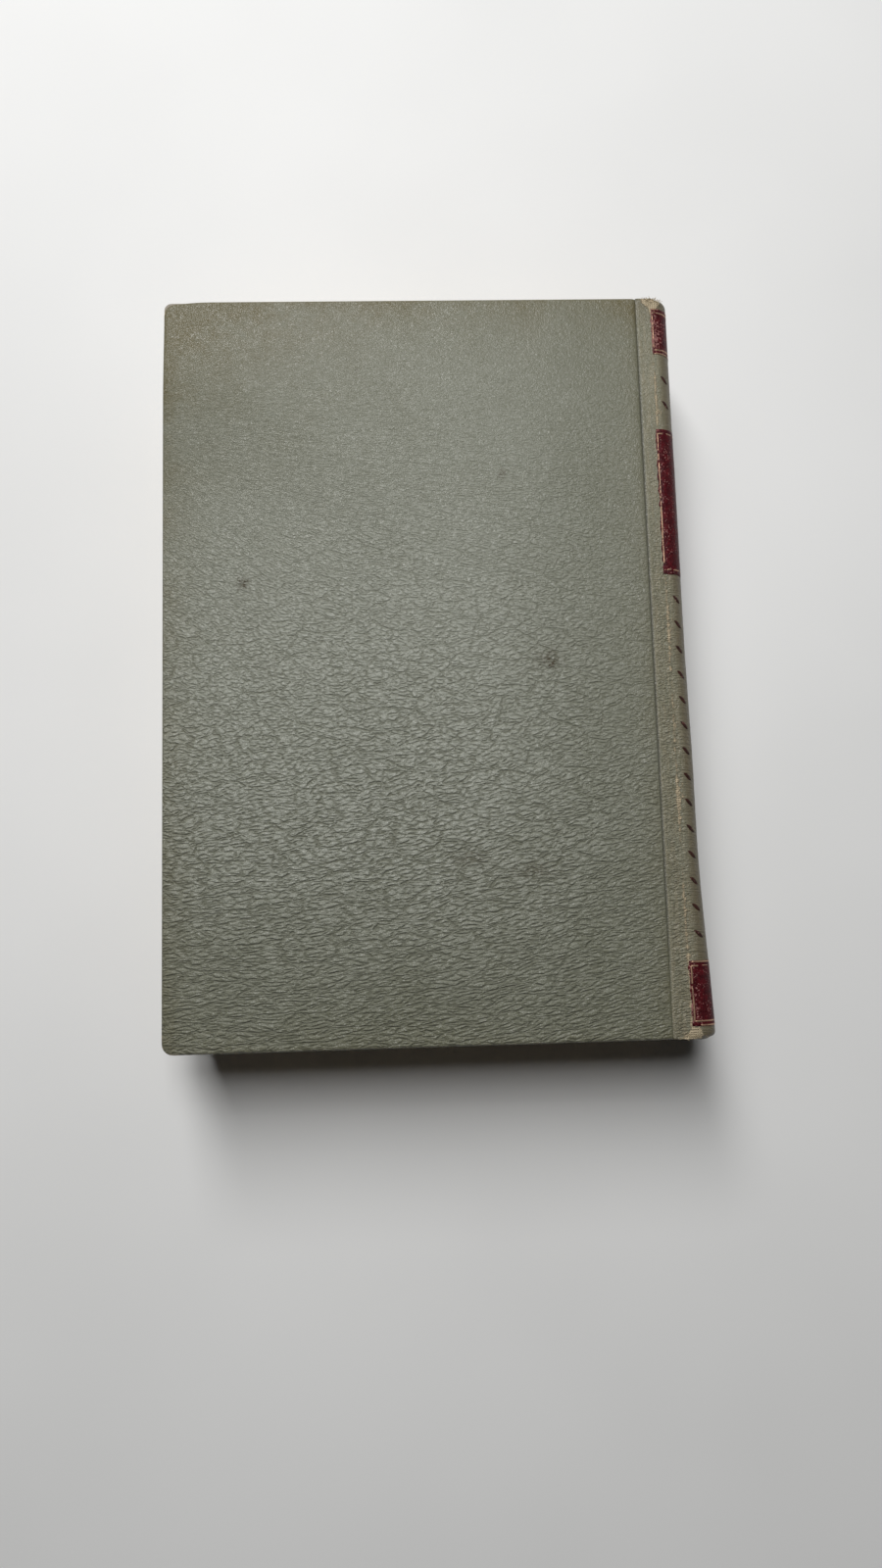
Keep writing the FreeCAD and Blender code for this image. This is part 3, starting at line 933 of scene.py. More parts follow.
    def _strokes(self, ink: Material) -> Object:
        """Builds an even row of short tapered strokes beside each corner of the spine."""
        bm = bmesh.new()
        wear = bm.verts.layers.float.new("wear")
        boxes = [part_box(name) for name in self.panels]
        start = self.skin.outline.corner_start + self.stroke_start
        for above, below in zip(boxes, boxes[1:]):
            low = below[1].y
            gap = above[0].y - low
            count = max(1, round(gap / self.stroke_pitch) - 1)
            for number in range(count):
                y = low + gap / (count + 1) * (number + 1)
                self._stroke(bm, start, y, 1.0)
                self._stroke(bm, self.skin.outline.over(start), y, -1.0)
        for vert in bm.verts:
            vert[wear] = 0.3 + 0.2 * ripple(vert.co.x + vert.co.z, vert.co.y, 2.0, 47.0)
        self._film(bm)
        return BENCH.place("spine_strokes", bm, ink, "red_panel")


@dataclass
class LeafStack:
    """The leaves of one section, each cut a little differently.

    Attributes:
        book: Stations of the book.
        outline: Cross-section of the case.
        number: Number of the section, from the front.
        leaves: How many leaves it shows.
        uneven: Spread of the cut edges.
        air: Share of its pitch left free on each side of a leaf.
        curl: Length over which turning leaves would bend at the gutter; not used.
    """

    book: Book
    outline: Outline
    number: int
    leaves: int = 16
    uneven: float = 0.09 * MM
    air: float = 0.04
    curl: float = CURL

    @property
    def side(self) -> Side | None:
        """The cover that the section turns with, or None where it stays."""
        if self.number <= TURNING:
            return Side.FRONT
        return Side.BACK if self.number > SECTIONS - TURNING else None

    def build(self, finish: Material) -> None:
        """Builds the leaves; those that stay are fixed in the block."""
        node = f"section_{self.number:02d}" + ("_leaves" if self.side else "")
        low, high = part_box(node)
        chance = random.Random(self.number)
        pitch = (high.z - low.z) / self.leaves
        thick = pitch * (1.0 - 2.0 * self.air)
        middle = (high.z + low.z) / 2.0
        set_off = chance.gauss(0.0, 1.2 * self.uneven)
        bm = bmesh.new()
        tone = bm.verts.layers.float.new("tone")
        for index in range(self.leaves):
            level = low.z + pitch * (index + self.air)
            centre = level + thick / 2.0
            reach = self.outline.fold_reach(centre)
            fore = reach - self.book.leaf_width + max(-0.15 * MM, set_off + chance.gauss(0.0, self.uneven))
            if self.side:
                end = self.book.leaf_end
            else:
                half = (high.z - low.z) / 2.0
                end = self.outline.fold_reach(middle) - half
                end += math.sqrt(max(0.0, half ** 2 - (centre - middle) ** 2))
            head = self.book.leaf_half - abs(chance.gauss(0.0, self.uneven))
            tail = self.book.leaf_half - abs(chance.gauss(0.0, self.uneven))
            shade = chance.random()

            def shape(u: float, v: float) -> Vector:
                """Place of a point of a leaf, closer together near the gutter."""
                x = end - (end - fore) * u ** 1.9
                y = -tail + (tail + head) * v
                nick = 0.5 * self.uneven * ripple(y, level, 15.0, shade * 40.0)
                return Vector((x + nick * u ** 6, y, level))

            verts = BENCH.sheet(bm, (18 if self.side else 3, 10), shape)
            for vert in verts:
                vert[tone] = shade
            BENCH.thicken(bm, verts, Vector((0.0, 0.0, thick)))
        bmesh.ops.recalc_face_normals(bm, faces=bm.faces)
        piece = BENCH.place(f"leaves_of_{self.number:02d}", bm, finish, "text_paper", even=False)
        if self.side:
            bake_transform(piece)
        else:
            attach(piece, "text_block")
        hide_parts(node)


@dataclass
class Endpaper:
    """One folded endpaper: the half glued to the board and the free flyleaf.

    Attributes:
        book: Stations of the book.
        side: The cover that it is glued to.
        thick: Thickness of the paper.
        curl: Length over which the flyleaf would bend at the gutter; not used.
        joint: Steps of the paper's joint at the hinge, across and down in millimetres.
    """

    book: Book
    side: Side
    thick: float = 0.14 * MM
    curl: float = CURL
    joint: tuple[Pair, ...] = (
        (0.03, 0.5), (0.06, 1.0), (0.16, 1.45), (0.42, 1.58), (0.75, 1.45), (1.05, 1.0), (1.2, 0.75),
    )

    def build(self, finish: Material) -> None:
        """Builds both halves."""
        self._pasted(finish)
        self._flyleaf(finish)

    def _close(self, bm: BMesh, name: str, finish: Material) -> Object:
        """Carries a piece of the back endpaper to its own side and places it."""
        if self.side is Side.FRONT:
            bmesh.ops.transform(bm, matrix=self.book.flip(), verts=bm.verts)
        bmesh.ops.recalc_face_normals(bm, faces=bm.faces)
        return BENCH.place(f"{self.side.value}_{name}", bm, finish, "endpaper", even=False)

    def _pasted(self, finish: Material) -> None:
        """Builds the pasted half, sunk between the turn-ins, and the joint that it forms at the hinge."""
        book = self.book
        node = f"{self.side.value}_pastedown"
        low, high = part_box(node)
        step = book.board_inner - book.turn_in_face
        bm = bmesh.new()

        def shape(u: float, v: float) -> Vector:
            """Place of a point of the pasted sheet."""
            point = Vector((low.x + (high.x - low.x) * u, low.y + (high.y - low.y) * v, book.pastedown_face))
            inset = min(point.x - book.fore_edge, book.half_height - abs(point.y)) - TURN_IN
            point.z += step * ease(-0.4, 1.6, inset) * ease(0.0, 3.0, high.x - point.x)
            return point

        BENCH.sheet(bm, (90, 120), shape)
        edges = BENCH.beyond(bm, (1.0, 0.0, 0.0), high.x)
        for x, z in self.joint:
            place = (high.x + x * MM, book.pastedown_face + z * MM)
            edges = BENCH.lap(bm, edges, lambda point, at=place: Vector((at[0], point.y, at[1])))
        bmesh.ops.recalc_face_normals(bm, faces=bm.faces)
        bmesh.ops.solidify(bm, geom=list(bm.faces), thickness=self.thick)
        piece = self._close(bm, "pasted_endpaper", finish)
        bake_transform(piece)
        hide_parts(node)

    def _flyleaf(self, finish: Material) -> None:
        """Builds the free half."""
        node = f"{self.side.value}_flyleaf"
        low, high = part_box(node)
        level = low.z if self.side is Side.BACK else self.book.top - high.z
        bm = bmesh.new()

        def shape(u: float, v: float) -> Vector:
            """Place of a point of the flyleaf, closer together near the gutter."""
            return Vector((high.x - (high.x - low.x) * u ** 1.8, low.y + (high.y - low.y) * v, level))

        verts = BENCH.sheet(bm, (36, 40), shape)
        BENCH.thicken(bm, verts, Vector((0.0, 0.0, self.thick)))
        piece = self._close(bm, "free_endpaper", finish)
        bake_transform(piece)
        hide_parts(node)


@dataclass
class EndBand:
    """A band of wound thread at one end of the block, with its cloth under the lining.

    Attributes:
        outline: Cross-section of the case.
        node: The solid that it stands for.
        radius: Radius of the wound bead.
        turns: Number of turns of the thread.
        fill: Share of the solid's arc that the bead takes up.
        waist: How far the bead is drawn in between two turns, as a share of its radius.
    """

    outline: Outline
    node: str
    radius: float = 0.95 * MM
    turns: int = 58
    fill: float = 0.985
    waist: float = 0.14

    def build(self, finish: Material) -> None:
        """Builds the bead by a spin round the spine's centre, and the cloth behind it."""
        low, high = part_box(self.node)
        way = 1.0 if low.y > 0.0 else -1.0
        outer = high.y if way > 0.0 else low.y
        book = self.outline.book
        centre = Vector((book.spine_line - self.outline.spine_radius, 0.0, book.middle))
        reach = high.x - centre.x
        half = math.asin((high.z - low.z) / 2.0 / reach) * self.fill
        bm = bmesh.new()
        hub = Vector((reach - self.radius, outer - way * self.radius, 0.0))
        stand = Matrix.Translation(centre) @ Matrix.Rotation(-half, 4, "Y") @ Matrix.Translation(hub)
        ring = bmesh.ops.create_circle(bm, cap_ends=True, segments=12, radius=self.radius, matrix=stand)
        edges = list({edge for vert in ring["verts"] for edge in vert.link_edges})
        steps = self.turns * 4
        bmesh.ops.spin(bm, geom=edges, cent=centre, axis=(0.0, 1.0, 0.0), dvec=(0.0, 0.0, 0.0),
                       angle=2.0 * half, steps=steps, use_merge=False, use_duplicate=False)
        stripe = bm.verts.layers.float.new("stripe")
        for vert in bm.verts:
            ray = vert.co - centre
            angle = math.atan2(-ray.z, ray.x)
            flat = Vector((math.cos(angle), 0.0, -math.sin(angle)))
            core = centre + flat * (reach - self.radius) + Vector((0.0, outer - way * self.radius, 0.0))
            turn = (angle + half) / (2.0 * half) * self.turns
            full = 1.0 - self.waist + self.waist * abs(math.sin(math.pi * turn))
            vert.co = core + (vert.co - core) * full
            vert[stripe] = 1.0 if (turn / 2.0) % 1.0 < 0.5 else 0.0
        ends = [edge for edge in bm.edges if edge.is_boundary]
        if ends:
            bmesh.ops.holes_fill(bm, edges=ends)
        inner = low.y if way > 0.0 else high.y

        def shape(u: float, v: float) -> Vector:
            """Place of a point of the cloth."""
            angle = (2.0 * u - 1.0) * half
            out = reach - self.radius * 0.6
            y = inner + (outer - way * self.radius - inner) * v
            return centre + Vector((math.cos(angle) * out, y, math.sin(angle) * out))

        BENCH.sheet(bm, (40, 6), shape)
        bmesh.ops.recalc_face_normals(bm, faces=bm.faces)
        piece = BENCH.place(self.node.replace("band", "wound_band"), bm, finish, "band_cloth")
        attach(piece, "text_block")
        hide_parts(self.node)


@dataclass
class Fray:
    """Loose fibres where the leatherette has worn through at the ends of the spine.

    Attributes:
        skin: The spine that they stand on.
        count: Number of fibres.
        thick: Diameter of a fibre.
    """

    skin: SpineSkin
    count: int = 110
    thick: float = 0.10 * MM

    def build(self, finish: Material) -> None:
        """Draws the fibres as short bent curves and turns them into one mesh."""
        chance = random.Random(5)
        curve = bpy.data.curves.new("fray_lines", "CURVE")
        curve.dimensions = "3D"
        curve.bevel_depth = self.thick / 2.0
        curve.bevel_resolution = 1
        outline = self.skin.outline
        for number in range(self.count):
            head = number % 3 != 2
            front = number % 4 == 3
            along = outline.corner_start + chance.gauss(0.2 * MM, 1.5 * MM)
            if front:
                along = outline.over(along)
            end = self.skin.book.half_height - abs(chance.gauss(0.0, 0.9 * MM))
            y = end if head else -end
            point, normal = self.skin.surface(along, y)
            step = Vector((chance.gauss(0.0, 0.5), (0.55 if head else -0.4) + chance.gauss(0.0, 0.3),
                           chance.gauss(0.0, 0.25)))
            step = step + normal * 0.35
            spline = curve.splines.new("POLY")
            spline.points.add(4)
            length = chance.uniform(0.3, 1.0) * MM
            for knot in spline.points:
                point.z = min(self.skin.book.top - self.thick, max(self.thick, point.z))
                knot.co = (*outline.spread(point), 1.0)
                point = point + step * length / 4.0
                step = step + Vector([chance.gauss(0.0, bend) for bend in (0.25, 0.25, 0.2)])
        lines = bpy.data.objects.new("fray_lines", curve)
        mesh = bpy.data.meshes.new_from_object(lines)
        bpy.data.objects.remove(lines)
        bpy.data.curves.remove(curve)
        bm = bmesh.new()
        bm.from_mesh(mesh)
        bpy.data.meshes.remove(mesh)
        piece = BENCH.place("frayed_fibres", bm, finish, "mull")
        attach(piece, "text_block")


class Sketch:
    """Adds nodes to one tree and links them."""

    def __init__(self, tree: NodeTree) -> None:
        """Keeps the tree that is drawn on."""
        self.tree = tree

    def feed(self, socket: NodeSocket, value: Feed) -> None:
        """Links a socket to an input, or sets the input's value."""
        if isinstance(value, NodeSocket):
            self.tree.links.new(value, socket)
        elif isinstance(value, tuple) and len(value) == 3 and socket.type == "RGBA":
            socket.default_value = (*value, 1.0)
        else:
            socket.default_value = value

    def add(self, kind: str, feeds: dict[str | int, Feed] | None = None, **options: object) -> Node:
        """Adds a node.

        Args:
            kind: The node's type, without its prefix.
            feeds: A value or a socket for each input that differs from the default.
            options: The node's own options.

        Returns:
            The new node.
        """
        node = self.tree.nodes.new(f"ShaderNode{kind}")
        for name, value in options.items():
            setattr(node, name, value)
        self.fill(node, feeds or {})
        return node

    def fill(self, node: Node, feeds: dict[str | int, Feed]) -> None:
        """Feeds the inputs of a node."""
        for key, value in feeds.items():
            self.feed(node.inputs[key], value)

    def group(self, tree: NodeTree, **feeds: Feed) -> Node:
        """Adds a shared group and feeds it."""
        return self.add("Group", feeds, node_tree=tree)

    def place(self) -> NodeSocket:
        """The point on the piece, in metres."""
        return self.add("TexCoord").outputs["Object"]

    def stretch(self, where: NodeSocket, scale: Triple) -> NodeSocket:
        """A place scaled along its axes."""
        return self.add("Mapping", {"Vector": where, "Scale": scale}).outputs[0]

    def mark(self, name: str) -> NodeSocket:
        """A number noted on the mesh."""
        return self.add("Attribute", attribute_name=name).outputs["Fac"]

    def math(self, way: str, first: Feed, second: Feed = 0.0, third: Feed = 0.0,
             clamp: bool = False) -> NodeSocket:
        """The result of one sum."""
        return self.add("Math", {0: first, 1: second, 2: third}, operation=way, use_clamp=clamp).outputs[0]

    def times(self, first: Feed, second: Feed) -> NodeSocket:
        """The product of two numbers."""
        return self.math("MULTIPLY", first, second)

    def vector(self, way: str, first: Feed, second: Feed = (0.0, 0.0, 0.0)) -> NodeSocket:
        """The sum, the difference or another vector made of two."""
        return self.add("VectorMath", {0: first, 1: second}, operation=way).outputs[0]

    def scaled(self, where: NodeSocket, scale: Feed) -> NodeSocket:
        """A vector times a number."""
        return self.add("VectorMath", {0: where, "Scale": scale}, operation="SCALE").outputs[0]

    def length(self, where: NodeSocket) -> NodeSocket:
        """The length of a vector."""
        return self.add("VectorMath", {0: where}, operation="LENGTH").outputs["Value"]

    def fit(self, value: Feed, low: float, high: float, to_low: float = 0.0,
            to_high: float = 1.0) -> NodeSocket:
        """A value carried from one range to another and kept inside it."""
        feeds = {"Value": value, "From Min": low, "From Max": high, "To Min": to_low, "To Max": to_high}
        return self.add("MapRange", feeds, interpolation_type="SMOOTHSTEP").outputs[0]

    def noise(self, where: NodeSocket, scale: Feed, detail: float = 3.0, rough: float = 0.55) -> NodeSocket:
        """Cloudy noise around one half."""
        feeds = {"Vector": where, "Scale": scale, "Detail": detail, "Roughness": rough}
        return self.add("TexNoise", feeds).outputs[0]

    def cells(self, where: NodeSocket, scale: Feed, feature: str = "F1",
              space: str = "3D") -> NodeSocket:
        """Distance within scattered cells."""
        feeds = {"Vector": where, "Scale": scale}
        return self.add("TexVoronoi", feeds, voronoi_dimensions=space, feature=feature).outputs["Distance"]

    def mix(self, share: Feed, first: Feed, second: Feed) -> NodeSocket:
        """Two colours mixed."""
        return self.add("Mix", {0: share, 6: first, 7: second}, data_type="RGBA").outputs[2]

    def coats(self, colour: Feed, coats: Iterable[tuple[Feed, Feed]]) -> NodeSocket:
        """Lays coats over a colour, each with its mask and its own colour."""
        for mask, over in coats:
            colour = self.mix(mask, colour, over)
        return colour

    def bump(self, height: NodeSocket, strength: float, distance: float) -> NodeSocket:
        """A normal tilted by a height."""
        return self.add("Bump", {"Height": height, "Strength": strength, "Distance": distance}).outputs[0]


class Groups:
    """Shader node groups that several finishes share, each built once."""

    def _start(self, name: str, inputs: Iterable[str], outputs: Iterable[str]) -> tuple[Sketch, dict, dict]:
        """Opens a group.

        Args:
            name: Name of the group.
            inputs: Names of its number inputs.
            outputs: Names of its number outputs.

        Returns:
            A sketch of its tree, its input sockets and its output sockets.
        """
        tree = bpy.data.node_groups.new(name, "ShaderNodeTree")
        for title in inputs:
            tree.interface.new_socket(title, in_out="INPUT", socket_type="NodeSocketFloat")
        for title in outputs:
            tree.interface.new_socket(title, in_out="OUTPUT", socket_type="NodeSocketFloat")
        source = tree.nodes.new("NodeGroupInput").outputs
        target = tree.nodes.new("NodeGroupOutput").inputs
        given = {title: source[title] for title in inputs}
        return Sketch(tree), given, {title: target[title] for title in outputs}

    @cached_property
    def pebble(self) -> NodeTree:
        """Fine leather grain: a height, and a mask of its pits."""
        draw, given, out = self._start("pebble_grain", ("Scale",), ("Height", "Pits"))
        where = draw.place()
        edges = draw.cells(where, given["Scale"], "DISTANCE_TO_EDGE")
        crown = draw.fit(edges, 0.0, 0.22)
        cloud = draw.noise(where, 5200.0, 2.0)
        draw.feed(out["Height"], draw.times(crown, draw.fit(cloud, 0.2, 0.8, 0.7, 1.0)))
        draw.feed(out["Pits"], draw.math("SUBTRACT", 1.0, crown, clamp=True))
        return draw.tree

    @cached_property
    def wrinkles(self) -> NodeTree:
        """Wrinkles that bow round the smooth head of the fore-edge: a height, and a mask of the creases."""
        draw, given, out = self._start("leather_wrinkles", ("Depth", "Scale"), ("Height", "Creases"))
        axes = draw.add("SeparateXYZ", {0: draw.place()}).outputs
        across = draw.math("MULTIPLY_ADD", axes[0], 0.5, 55.0 * MM)
        down = draw.math("SUBTRACT", 72.0 * MM, axes[1])
        ray = draw.add("CombineXYZ", {0: across, 1: down}).outputs[0]
        turn = draw.times(draw.math("ARCTAN2", across, down), 150.0 * MM)
        sides = [draw.math("MULTIPLY_ADD", axes[2], 0.7, way) for way in (turn, draw.length(ray))]
        flat = draw.scaled(draw.add("CombineXYZ", {0: sides[0], 1: sides[1]}).outputs[0], given["Scale"])
        for scale, reach in ((130.0, 2.2 * MM), (480.0, 1.0 * MM), (1500.0, 0.45 * MM)):
            sway = draw.add("TexNoise", {"Vector": flat, "Scale": scale, "Detail": 1.0}).outputs["Color"]
            sway = draw.vector("SUBTRACT", sway, (0.5, 0.5, 0.5))
            flat = draw.vector("ADD", flat, draw.scaled(sway, reach))
        grain = draw.noise(draw.place(), 1300.0, 2.0, 0.5)
        cells = draw.cells(draw.stretch(flat, (600.0, 940.0, 0.0)), 1.0, "DISTANCE_TO_EDGE", "2D")
        folds = draw.cells(draw.stretch(flat, (165.0, 320.0, 0.0)), 1.0, "DISTANCE_TO_EDGE", "2D")
        broken = draw.noise(draw.stretch(flat, (0.6, 1.0, 1.0)), 1300.0, 1.0)
        depth = draw.times(draw.fit(broken, 0.34, 0.62, 0.35, 1.0), given["Depth"])
        furrow = draw.math("MAXIMUM", draw.fit(cells, 0.38, 0.0), draw.fit(folds, 0.12, 0.0, 0.0, 1.3))
        cut = draw.times(furrow, depth)
        height = draw.math("SUBTRACT", draw.fit(grain, 0.25, 0.75, 0.0, 0.20), cut)
        lines = draw.math("MAXIMUM", draw.fit(cells, 0.14, 0.0), draw.fit(folds, 0.08, 0.0))
        creases = draw.times(lines, depth)
        draw.feed(out["Height"], height)
        draw.feed(out["Creases"], creases)
        return draw.tree

    @cached_property
    def rubbed(self) -> NodeTree:
        """Mask of what is rubbed off, from a noted amount."""
        draw, given, out = self._start("rubbed_off", ("Amount", "Scale"), ("Mask",))
        where = draw.place()
        broad = draw.noise(where, given["Scale"], 5.0, 0.7)
        edge = draw.math("SUBTRACT", draw.math("ADD", given["Amount"], broad), 1.0)
        draw.feed(out["Mask"], draw.fit(edge, -0.06, 0.10))
        return draw.tree

    @cached_property
    def foxing(self) -> NodeTree:
        """Mask of the brown spots in old paper."""
        draw, given, out = self._start("foxing_spots", ("Scale",), ("Mask",))
        where = draw.place()
        spots = draw.fit(draw.cells(where, given["Scale"]), 0.34, 0.05)
        patch = draw.fit(draw.noise(where, 24.0, 3.0), 0.50, 0.68)
        draw.feed(out["Mask"], draw.times(spots, patch))
        return draw.tree

    @cached_property
    def weave(self) -> NodeTree:
        """Crossed threads: a height, and a mask of the gaps between them."""
        draw, given, out = self._start("crossed_threads", ("Scale",), ("Height", "Gaps"))
        axes = draw.add("SeparateXYZ", {0: draw.place()}).outputs
        across = draw.math("ADD", axes[0], axes[2])
        ways = []
        for axis in (across, axes[1]):
            angle = draw.times(axis, given["Scale"])
            ways.append(draw.math("ABSOLUTE", draw.math("SINE", angle)))
        height = draw.math("MAXIMUM", *ways)
        draw.feed(out["Height"], height)
        draw.feed(out["Gaps"], draw.fit(height, 0.65, 0.30))
        return draw.tree


GROUPS = Groups()


@dataclass(frozen=True)
class Finish:
    """A material that is drawn on the piece's own coordinates and notes.

    Attributes:
        name: Name of the material.
        base: Its main colour.
    """

    name: str
    base: Triple

    def make(self) -> Material:
        """Makes the material."""
        material = bpy.data.materials.new(self.name)
        material.use_nodes = True
        draw = Sketch(material.node_tree)
        draw.fill(material.node_tree.nodes["Principled BSDF"], self.look(draw))
        return material

    def look(self, draw: Sketch) -> dict[str, Feed]:
        """Draws the finish and gives what feeds its shader; each kind has its own."""
        raise NotImplementedError

    def surface(self, colour: Feed, rough: Feed, specular: float, normal: NodeSocket) -> dict[str, Feed]:
        """Names the inputs that most finishes feed."""
        return {"Base Color": colour, "Roughness": rough, "Specular IOR Level": specular, "Normal": normal}


@dataclass(frozen=True)
class Leatherette(Finish):
    """Grained leatherette: creases, grain pits and the groove line darkened with painted shade, a painted
    sheen on its ridges, browned edges, spots, and canvas where it has worn through.
    """

    # colour of the painted shade in the creases, the grain pits and the groove line
    painted_shade: Triple = (0.060, 0.060, 0.044)
    # pale: the paler clouds and flecks, and the colour of the painted sheen on the ridges
    pale: Triple = (0.410, 0.425, 0.372)
    toned: Triple = (0.131, 0.112, 0.052)
    spot: Triple = (0.060, 0.047, 0.022)
    canvas: Triple = (0.450, 0.370, 0.245)
    # thread: colour of the painted shade between the canvas threads
    thread: Triple = (0.250, 0.195, 0.120)
    scale: float = 1.0
    streaks: float = 0.0

    def look(self, draw: Sketch) -> dict[str, Feed]:
        """Draws the leatherette."""
        where = draw.place()
        cloud = draw.noise(where, 55.0, 4.0)
        fleck = draw.noise(where, 900.0, 3.0, 0.65)
        pebble = draw.group(GROUPS.pebble, Scale=1900.0)
        wrinkle = draw.group(GROUPS.wrinkles, Depth=draw.mark("creased"), Scale=self.scale)
        crease = wrinkle.outputs["Creases"]
        height = wrinkle.outputs["Height"]
        colour = draw.coats(self.base, (
            (draw.fit(cloud, 0.3, 0.7, 0.0, 0.08), self.pale),
            (draw.fit(fleck, 0.45, 0.75, 0.0, 0.12), self.pale),
            # painted sheen: the ridges are painted paler where the noted sheen is strong
            (draw.times(draw.fit(height, -1.2, 0.3, 0.08, 0.60), draw.mark("painted_sheen")), self.pale),
        ))
        if self.streaks:
            streak = draw.noise(draw.stretch(where, (1.0, 0.07, 1.0)), 2200.0, 2.0)
            colour = draw.mix(draw.fit(streak, 0.35, 0.75, 0.0, self.streaks), colour, self.canvas)
        rubbed = draw.group(GROUPS.rubbed, Amount=draw.mark("wear"), Scale=700.0).outputs[0]
        weave = draw.group(GROUPS.weave, Scale=5200.0)
        colour = draw.coats(colour, (
            (draw.times(draw.mark("toned"), draw.fit(fleck, 0.2, 0.8, 0.75, 1.1)), self.toned),
            # painted shade darkening the creases
            (draw.times(crease, 0.30), self.painted_shade),
            # painted shade in the pits of the grain
            (draw.times(pebble.outputs["Pits"], 0.14), self.painted_shade),
            # painted shade line in the groove
            (draw.times(draw.mark("line"), 0.72), self.painted_shade),
            (draw.times(draw.mark("stain"), draw.fit(fleck, 0.40, 0.66, 0.25, 1.5)), self.spot),
            # worn-through canvas, with painted shade between its threads
            (rubbed, draw.mix(weave.outputs["Gaps"], self.canvas, self.thread)),
        ))
        relief = draw.math("MULTIPLY_ADD", pebble.outputs["Height"], 0.2, height)
        relief = draw.math("MULTIPLY_ADD", weave.outputs["Height"], draw.times(rubbed, 0.8), relief)
        rough = draw.math("MULTIPLY_ADD", rubbed, 0.3, draw.fit(crease, 0.0, 1.0, 0.36, 0.60))
        return self.surface(colour, rough, 0.5, draw.bump(relief, 1.0, 0.30 * MM))


@dataclass(frozen=True)
class RedPanel(Finish):
    """Dark red blocking film, crazed, rubbed through at its borders, and with painted shade in the pits of
    its grain.
    """

    deep: Triple = (0.040, 0.003, 0.005)
    worn: Triple = (0.360, 0.180, 0.160)

    def look(self, draw: Sketch) -> dict[str, Feed]:
        """Draws the panel."""
        where = draw.place()
        fleck = draw.noise(where, 750.0, 4.0, 0.65)
        pebble = draw.group(GROUPS.pebble, Scale=1300.0)
        rubbed = draw.group(GROUPS.rubbed, Amount=draw.mark("wear"), Scale=1500.0).outputs[0]
        thin = draw.fit(draw.noise(where, 420.0, 2.0), 0.60, 0.40, -0.06, 0.20)
        specks = draw.fit(draw.math("SUBTRACT", draw.cells(where, 1700.0), thin), 0.16, 0.04)
        colour = draw.coats(self.deep, (
            (draw.fit(fleck, 0.35, 0.7), self.base),
            # painted shade in the pits of the grain
            (draw.times(pebble.outputs["Pits"], 0.45), self.deep),
            (draw.times(rubbed, 0.75), self.worn),
            (draw.times(specks, draw.fit(draw.mark("wear"), 0.16, 0.40, 0.15, 0.9)), self.worn),
        ))
        rough = draw.math("MULTIPLY_ADD", rubbed, 0.3, draw.fit(fleck, 0.3, 0.7, 0.34, 0.46))
        return self.surface(colour, rough, 0.14, draw.bump(pebble.outputs["Height"], 0.8, 0.08 * MM))


@dataclass(frozen=True)
class Gilt(Finish):
    """Dulled gilt foil, broken by the grain under it."""

    dull: Triple = (0.170, 0.085, 0.060)

    def look(self, draw: Sketch) -> dict[str, Feed]:
        """Draws the foil."""
        where = draw.place()
        fleck = draw.noise(where, 1800.0, 4.0, 0.7)
        amount = draw.fit(draw.noise(where, 320.0, 2.0), 0.35, 0.75, 0.25, 0.62)
        rubbed = draw.group(GROUPS.rubbed, Amount=amount, Scale=2600.0).outputs[0]
        colour = draw.mix(rubbed, self.base, self.dull)
        rough = draw.fit(fleck, 0.3, 0.7, 0.30, 0.52)
        look = self.surface(colour, rough, 0.5, draw.bump(fleck, 0.35, 0.04 * MM))
        return look | {"Metallic": draw.fit(rubbed, 0.0, 1.0, 0.75, 0.1)}


@dataclass(frozen=True)
class Paper(Finish):
    """Aged paper: fibres, brown spots, and browning towards the edges.

    Attributes:
        browned: Colour at the edges.
        half: Half width and half height of the sheet, where its edges brown.
        centre: Station of the sheet's middle.
        lines: Strength of the painted shade lines between the leaves, on solid folds.
        fox: Colour of the spots.
        pale: Colour of the pale fibres.
    """

    browned: Triple = (0.420, 0.290, 0.150)
    half: Pair = (66.0 * MM, 102.0 * MM)
    centre: float = -4.0 * MM
    lines: float = 0.0
    fox: Triple = (0.26, 0.13, 0.05)
    pale: Triple = (0.86, 0.80, 0.66)

    def look(self, draw: Sketch) -> dict[str, Feed]:
        """Draws the paper."""
        where = draw.place()
        axes = draw.add("SeparateXYZ", {0: where}).outputs
        cloud = draw.noise(where, 30.0, 4.0)
        fibre = draw.noise(draw.stretch(where, (1.0, 0.25, 1.0)), 2600.0, 3.0, 0.6)
        ways = zip(self.half, (draw.math("SUBTRACT", axes[0], self.centre), axes[1]))
        insets = [draw.math("SUBTRACT", half, draw.math("ABSOLUTE", way)) for half, way in ways]
        inset = draw.math("MULTIPLY_ADD", cloud, 12.0 * MM, draw.math("MINIMUM", *insets))
        colour = draw.coats(self.base, (
            (draw.fit(cloud, 0.35, 0.75, 0.0, 0.22), self.browned),
            (draw.fit(inset, 24.0 * MM, 2.0 * MM, 0.0, 0.75), self.browned),
            (draw.fit(draw.mark("tone"), 0.0, 1.0, 0.0, 0.45), self.browned),
        ))
        if self.lines:
            # painted shade lines between the leaves of a solid fold
            leaves = draw.noise(draw.stretch(where, (0.03, 0.03, 1.0)), 3600.0, 2.0, 0.6)
            colour = draw.mix(draw.fit(leaves, 0.42, 0.62, 0.0, self.lines), colour, self.browned)
        spots = draw.group(GROUPS.foxing, Scale=150.0).outputs[0]
        colour = draw.coats(colour, (
            (draw.times(spots, 0.55), self.fox),
            (draw.fit(fibre, 0.3, 0.75, 0.0, 0.16), self.pale),
        ))
        rough = draw.fit(fibre, 0.3, 0.7, 0.78, 0.92)
        return self.surface(colour, rough, 0.25, draw.bump(fibre, 0.30, 0.03 * MM))


